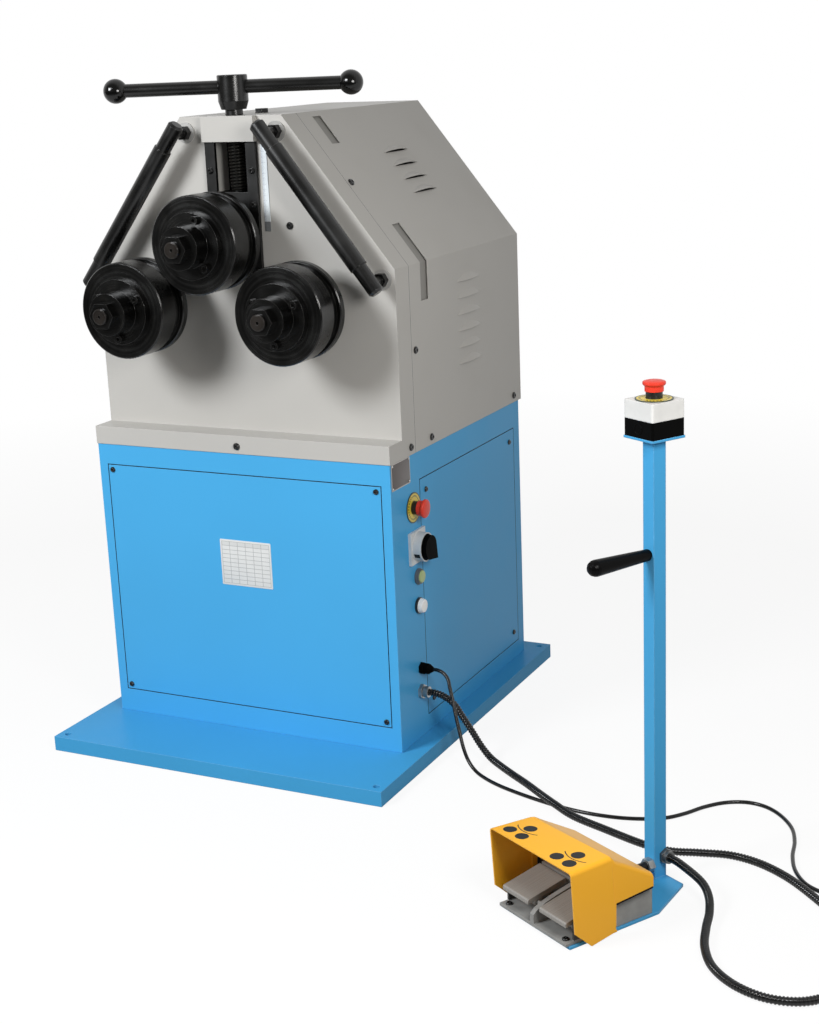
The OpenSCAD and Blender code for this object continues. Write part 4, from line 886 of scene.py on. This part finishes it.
class RINGROLLER_OT_handle(bpy.types.Operator):
    """T-handle, guide bars and their studs"""

    bl_idname = "ring_roller.handle"
    bl_label = "Handle and guide bars"

    def execute(self, context):
        steel = context.scene.ring_roller_steel
        coat(oiled_black("handle black", steel, (0.3, 0.3, 1.0), 0.20), "handle_hub", "handle_bar")
        coat(moulded("ball plastic", (0.002, 0.002, 0.002), 0.05, 0.05, 0.0008, 0.40), "handle_balls")
        black = oiled_black("bar black", steel, (0.5, 1.0, 0.5), 0.20)
        bars = piece("guide_bar_tubes", guide_bars(), black)
        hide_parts("guide_bars")
        coat(oiled_black("stud black", steel, washer=PLATE_Y - 0.0031), "bar_studs")
        return {"FINISHED"}


def gland_zinc():
    """Zinc nuts with short tool lines, and a black pipe between the two at the stand."""
    f = Finish("gland zinc")
    x, y, z = f.place()
    _, b = on_stand(f)
    tool = f.lines(x + y * 0.31 + z * 0.77, 500.0, 4.0)
    film = f.noise(60.0, 4.0).ramp(0.4, 0.7)
    edge = f.edges(0.0010)
    pipe = (x > 0.6) * (abs(b + 0.05075) < 0.0262)
    f.base = f.mix(film, (0.30, 0.31, 0.31), (0.48, 0.49, 0.49))
    # lighter along the edges: a painted highlight
    f.over(edge * 0.4, (0.66, 0.66, 0.65))
    f.over((x > 0.6) * (b > -0.010) * 0.75, (0.05, 0.05, 0.05))
    f.over(pipe, (0.006, 0.006, 0.006))
    metal = 0.8 - 0.8 * pipe
    return f.surface(0.28 + 0.14 * film, (tool, 0.00006, 0.5, 0.0008), metal, 0.2)


def isolator_plastic():
    """Pale gray plate and ring, with a small dark window low on the front of the ring."""
    f = Finish("isolator plastic")
    x, y, z = f.place()
    flow = f.noise(24.0, 3.0)
    edge = f.edges(0.0010)
    window = (abs(x - WALL_X - 0.0150) < 0.0060) * (y < ISOLATOR_AT[0] - 0.0200)
    window = window * (abs(z - ISOLATOR_AT[1] + 0.0125) < 0.0042)
    f.base = f.mix(flow.ramp(0.35, 0.65), (0.60, 0.63, 0.65), (0.68, 0.71, 0.73))
    # paler along the edges: a painted highlight
    f.over(edge * 0.3, (0.85, 0.87, 0.88))
    f.over(window, (0.006, 0.006, 0.006))
    return f.surface(0.30 + 0.1 * flow, (f.noise(1500.0), 0.00004, 0.3, 0.0008), spec=0.35)


def stop_legend(legend):
    """Yellow disc with a dark rim and a ring of plain dashes under a black collar, on the wall and on the
    control box."""
    f = Finish("stop legend")
    x, y, z = f.place()
    on_wall = x < 0.6
    du = on_wall * (y - ESTOP_AT[0]) + (1.0 - on_wall) * (x - STAND_AT[0])
    dv = on_wall * (z - ESTOP_AT[1]) + (1.0 - on_wall) * (y - STAND_AT[1])
    r = reach(du, dv)
    depth = on_wall * (x - WALL_X) + (1.0 - on_wall) * (z - LID_TOP)
    disc = (depth < 0.0018) * (r > 0.0136)
    dash = (abs(r - 0.0228) < 0.0017) * ((dv.turn(du) * (26.0 / (2 * np.pi))).fraction() > 0.45)
    rim = disc * dash.most(r > 0.0276)
    scuff = f.noise(160.0, 4.0)
    f.base = f.mix(disc, (0.005, 0.005, 0.005), f.mix(scuff, shade(legend, 0.92), shade(legend, 1.06)))
    f.over(rim, (0.020, 0.035, 0.018))
    return f.surface(0.32 + 0.14 * scuff, (scuff, 0.00004, 0.4, 0.0006))


def lamp_lens():
    """White lens with moulded ribs in a black ring."""
    f = Finish("lamp lens")
    x, y, z = f.place()
    out = reach(y - LAMP_AT[0], z - LAMP_AT[1])
    lens = (x > WALL_X + 0.0053) * (out < 0.0146)
    ribs = (out * 2400.0).sine() * 0.5 + 0.5
    f.base = f.mix(lens, (0.014, 0.014, 0.014), f.mix(ribs, (0.93, 0.93, 0.93), (1.0, 1.0, 0.99)))
    return f.surface(0.36 - 0.16 * lens, (ribs, 0.00012, 0.6, 0.0006))


class RINGROLLER_OT_controls(bpy.types.Operator):
    """Emergency stops, isolator, push button, lamp and glands"""

    bl_idname = "ring_roller.controls"
    bl_label = "Controls and glands"

    def execute(self, context):
        paint = context.scene.ring_roller_paint
        coat(moulded("stop red plastic", paint.red, 0.30, 0.2), "estop_button", "stand_estop_button")
        coat(stop_legend(paint.legend), "estop_collars")
        coat(isolator_plastic(), "isolator_body")
        coat(moulded("black plastic", (0.002, 0.002, 0.002), 0.5, spec=0.015), "isolator_knob", "mains_gland")
        coat(moulded("bezel plastic", (0.12, 0.14, 0.16), 0.30), "start_bezel")
        coat(moulded("button plastic", (0.46, 0.56, 0.26), 0.30, 0.1), "start_button")
        coat(lamp_lens(), "pilot_lamp")
        coat(gland_zinc(), "hose_glands")
        return {"FINISHED"}


class RINGROLLER_OT_stand(bpy.types.Operator):
    """Post with its control box and grip"""

    bl_idname = "ring_roller.stand"
    bl_label = "Stand"

    def execute(self, context):
        paint = context.scene.ring_roller_paint
        # the cabinet blue made darker for the stand: painted shade
        coat(enamel("stand blue enamel with painted shade", shade(paint.blue, 0.92), 0.0022), "stand_frame")
        coat(moulded("box white plastic", paint.housing, 0.32, 0.3, 0.0022), "control_box_lid")
        black = (0.0025, 0.0025, 0.0025)
        coat(moulded("box black plastic", black, 0.30, 0.4, 0.0016, 0.02), "control_box_base")
        coat(moulded("grip rubber", black, 0.22, 0.5, 0.0012, 0.06), "stand_grip")
        return {"FINISHED"}


def bent_sheet(half, side, lean):
    """Bent sheet: a U with round corners in a and z, outside and back inside, carried along b while its
    foot and the sides of its top follow the rows of side, in millimetres; it leans back below the top."""
    sheet, bend = 0.0025, 0.008
    b, foot, left_top, right_top = (np.array(side)[:, k, None] * 0.001 for k in range(4))
    quarter = np.linspace(0.0, np.pi / 2, 9)

    def arch(inset):
        r = bend - inset
        left = (-half + bend - r * np.cos(quarter), np.sin(quarter) * r)
        right = (half - bend + r * np.sin(quarter), np.cos(quarter) * r)
        a = np.concatenate([[-half + inset], left[0], right[0], [half - inset]])[None, :]
        z = np.concatenate([foot, left_top - bend + left[1], right_top - bend + right[1], foot], axis=1)
        return np.stack([np.broadcast_to(a, z.shape), b + lean * (0.136 - z), z], axis=-1)

    return arch(0.0), arch(sheet)


def guard_sheets():
    """Front U over a rear cover that is set in by its sheet; a rear wall and two feet close it."""
    parts = []
    middle = PEDAL_SHIFT - 0.003
    for half, side, lean in ((0.1035, GUARD_FRONT, 0.06), (0.1007, GUARD_REAR, 0.0)):
        outer, inner = bent_sheet(half, side, lean)
        loop = np.concatenate([outer, inner[:, ::-1]], axis=1)
        parts.append(solid(stand_place(loop[..., 0] + middle, loop[..., 1], loop[..., 2])))
    wall = inner[-2:]
    wall[0, :, 1], wall[1, :, 1] = -0.103, -0.1001
    parts.append(solid(stand_place(wall[..., 0] + middle, wall[..., 1], wall[..., 2])))
    for sign in (-1, 1):
        a = sign * np.array([0.085, 0.0978, 0.0978, 0.085])
        b = np.array([-0.235, -0.235, -0.176, -0.176])
        rows = np.stack([stand_place(a + PEDAL_SHIFT, b, z) for z in (0.006, 0.009)])
        parts.append(solid(rows))
    return parts


def gasket_and_shade_strip():
    """Strip under the guard's rear edge on each side, deeper on the left, where it fills the gap beside the
    casting as a dark sheet of painted shade: a rectangle carried along b.
    """
    parts = []
    for a, deep in (((-0.1040, -0.0852), 0.0240), ((0.0979, 0.0852), 0.0028)):
        corners = np.array([a[1], a[0], a[0], a[1]]) + PEDAL_SHIFT
        rows = [stand_place(corners, b, foot - np.array([deep, deep, 0.0001, 0.0001]))
                for b, foot in ((-0.1755, 0.055), (-0.1010, 0.060))]
        parts.append(solid(np.stack(rows)))
    return parts


def marked_enamel(tone):
    """Orange enamel whose top carries two sets of plain marks: three discs and an arc between them."""
    f = Finish("guard orange enamel")
    z = f.place()[2]
    a, b = on_stand(f)
    drift = f.noise(3.0, 3.0).ramp(0.3, 0.7)
    edge = f.edges(0.0012)
    f.base = f.mix(drift, shade(tone, 0.95), shade(tone, 1.04))
    # paler along the edges: a painted highlight
    f.over(edge * 0.35, (0.98, 0.62, 0.18))

    def disc(a0, b0, size=0.0114):
        return reach(a - a0, b - b0) < size

    def arc(a0, b0, size):
        da, db = a - a0, b - b0
        near = abs(reach(da, db) - size) < 0.0010
        return near * (abs(da) < 0.0255) * (db < 0.0)

    ink = 0.0
    for *discs, bow in GUARD_MARKS:
        for shape in (*(disc(*at) for at in discs), arc(*bow)):
            ink = shape.most(ink)
    ink = ink * (z > 0.1275)
    f.over(ink, (0.006, 0.006, 0.005))
    peel = f.noise(420.0)
    rough = 0.36 + 0.06 * drift + 0.08 * ink
    return f.surface(rough, (peel, 0.00006, 0.35, 0.0010), spec=0.34)


def pedal_well_shade(f):
    """1 in the well under the pedals, which the casting darkens as painted shade."""
    a, b = on_stand(f)
    return (abs(b + 0.222) < 0.0415) * (abs(a) > 0.0050) * (f.place()[2] > 0.0112)


def pedal_tread():
    """Cast pedal faces with fine grooves along the tread."""
    f = Finish("pedal tread")
    a, _ = on_stand(f)
    groove = f.lines(a, 900.0, 2.0).ramp(0.35, 0.65)
    grit = f.noise(700.0, 4.0)
    rub = f.noise(30.0, 4.0).ramp(0.4, 0.7)
    edge = f.edges(0.0016)
    f.base = f.mix(groove, (0.23, 0.215, 0.195), (0.36, 0.345, 0.32))
    f.over(rub * 0.5, (0.30, 0.285, 0.265))
    # lighter along the edges: a painted highlight
    f.over(edge * 0.4, (0.50, 0.48, 0.45))
    return f.surface(0.46 + 0.12 * grit, (groove + 0.4 * grit, 0.00030, 0.6, 0.0014), 0.1)


class RINGROLLER_OT_foot_switch(bpy.types.Operator):
    """Foot switch: casting, pedals and the bent guard with its roll marks"""

    bl_idname = "ring_roller.foot_switch"
    bl_label = "Foot switch"

    def execute(self, context):
        paint, steel = context.scene.ring_roller_paint, context.scene.ring_roller_steel
        # the casting is painted dark in the well under the pedals: painted shade
        cast = casting("casting gray", steel.cast, 0.46, 0.1, 0.25, 0.0, pedal_well_shade)
        coat(cast, "pedal_base")
        coat(pedal_tread(), "left_pedal", "right_pedal")
        coat(cut_steel("pin steel", steel.cut), "pedal_pin")
        orange = marked_enamel(paint.orange)
        guard = piece("bent_guard", guard_sheets(), orange, 40.0)
        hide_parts("pedal_guard")
        # dark strip under the guard: a gasket, and on the left a deeper strip that fills the gap as painted
        # shade
        rubber = moulded("gasket rubber with painted shade", (0.006, 0.005, 0.005), 0.6, spec=0.1)
        piece("gasket_and_shade_strip", gasket_and_shade_strip(), rubber)
        return {"FINISHED"}


def rivet_head(y, z):
    """Small domed rivet head turned about the x axis."""
    dome = lathe([(0.0021, 0.0), (0.0020, 0.0006), (0.0015, 0.0012), (0.0007, 0.00155)], 20)
    return solid(np.stack([WALL_X + 0.0009 + dome[..., 2], y + dome[..., 0], z + dome[..., 1]], axis=-1))


def dark_plate():
    """Dark anodised plate, brushed along y, with a bright border."""
    f = Finish("data plate metal")
    _, y, z = f.place()
    brush = f.lines(z, 5200.0, 2.0)
    inside = (abs(y - DATA_PLATE_AT[0]) < 0.0370) * (abs(z - DATA_PLATE_AT[1]) < 0.0240)
    f.base = f.mix(inside, (0.42, 0.40, 0.38), f.mix(brush, (0.060, 0.050, 0.047), (0.095, 0.080, 0.076)))
    return f.surface(0.30 + 0.14 * brush, (brush, 0.00003, 0.4, 0.0003), 0.5)


def chart_print():
    """White plate ruled in rows and columns."""
    f = Finish("chart print")
    x, _, z = f.place()
    u, v = (x - CHART_AT[0]) / 0.108 + 0.5, (z - CHART_AT[1]) / 0.086 + 0.5
    inside = (abs(u - 0.5) < 0.503) * (abs(v - 0.5) < 0.503)
    rows = abs((v * 10.0 + 0.5).fraction() - 0.5) < 0.055
    columns = abs((u * 6.0 + 0.5).fraction() - 0.5) < 0.028
    head = v > 0.9
    ink = inside * rows.most(columns)
    stain = f.noise(40.0, 4.0)
    f.base = f.mix(stain, (0.62, 0.63, 0.63), (0.72, 0.73, 0.72))
    f.over(inside * head * 0.25, (0.35, 0.36, 0.36))
    f.over(ink * 0.7, (0.20, 0.21, 0.22))
    return f.surface(0.34 + 0.1 * stain, (stain, 0.00003, 0.3, 0.0002))


class RINGROLLER_OT_plates(bpy.types.Operator):
    """Plain plates: a dark one with rivets on the wall and a ruled chart on the front panel"""

    bl_idname = "ring_roller.plates"
    bl_label = "Plates"

    def execute(self, context):
        data = plate((WALL_X, *DATA_PLATE_AT), (0, 1, 0), (0, 0, 1), (0.078, 0.052), 0.003, 0.0010, 0.0004)
        rivets = [rivet_head(y, z) for y in (-0.2395, -0.1705) for z in (0.5570, 0.6000)]
        piece("data_plate", [solid(data)], dark_plate())
        piece("plate_rivets", rivets, cut_steel("rivet alloy", (0.55, 0.55, 0.54)))
        chart = plate((CHART_AT[0], -0.248, CHART_AT[1]), (1, 0, 0), (0, 0, 1), (0.116, 0.094), 0.002, 0.0006,
                      0.0002)
        piece("chart_plate", [solid(chart)], chart_print())
        return {"FINISHED"}


class RINGROLLER_OT_drive(bpy.types.Operator):
    """Motor, gearbox, gears and bushes inside the hood"""

    bl_idname = "ring_roller.drive"
    bl_label = "Drive"

    def execute(self, context):
        steel = context.scene.ring_roller_steel
        coat(casting("motor paint", (0.055, 0.065, 0.080), 0.42), "motor")
        coat(casting("gearbox paint", (0.085, 0.092, 0.105), 0.45), "gearbox")
        coat(cut_steel("gear steel", steel.cut), "left_gear", "right_gear", "drive_pinion")
        coat(cut_steel("bush bronze", (0.55, 0.33, 0.12), 600.0, 0.30), "shaft_bushes")
        return {"FINISHED"}


class RINGROLLER_PT_panel(bpy.types.Panel):
    """Lists the steps and the settings"""

    bl_idname = "RINGROLLER_PT_panel"
    bl_label = "Ring roller"
    bl_space_type = "VIEW_3D"
    bl_region_type = "UI"
    bl_category = "Ring roller"

    def draw(self, context):
        for group in GROUPS:
            box = self.layout.box()
            settings = getattr(context.scene, group)
            for name in settings.bl_rna.properties.keys():
                if name not in ("rna_type", "name"):
                    box.prop(settings, name)
        for step in STEPS:
            self.layout.operator(step.bl_idname)


GROUPS = {
    "ring_roller_paint": PaintSettings,
    "ring_roller_steel": SteelSettings,
    "ring_roller_cords": CordSettings,
    "ring_roller_stage": StageSettings,
}
STEPS = (
    RINGROLLER_OT_stage,
    RINGROLLER_OT_mains_lead,
    RINGROLLER_OT_pedal_hose,
    RINGROLLER_OT_sheet_metal,
    RINGROLLER_OT_rolls,
    RINGROLLER_OT_slide,
    RINGROLLER_OT_handle,
    RINGROLLER_OT_controls,
    RINGROLLER_OT_stand,
    RINGROLLER_OT_foot_switch,
    RINGROLLER_OT_plates,
    RINGROLLER_OT_drive,
)


def register():
    for name, group in GROUPS.items():
        bpy.utils.register_class(group)
        setattr(bpy.types.Scene, name, PointerProperty(type=group))
    for cls in (*STEPS, RINGROLLER_PT_panel):
        bpy.utils.register_class(cls)


def unregister():
    for cls in reversed((*STEPS, RINGROLLER_PT_panel)):
        bpy.utils.unregister_class(cls)
    for name, group in GROUPS.items():
        delattr(bpy.types.Scene, name)
        bpy.utils.unregister_class(group)


def main():
    register()
    for step in STEPS:
        getattr(bpy.ops.ring_roller, step.bl_idname.split(".")[1])()


if __name__ == "__main__":
    main()
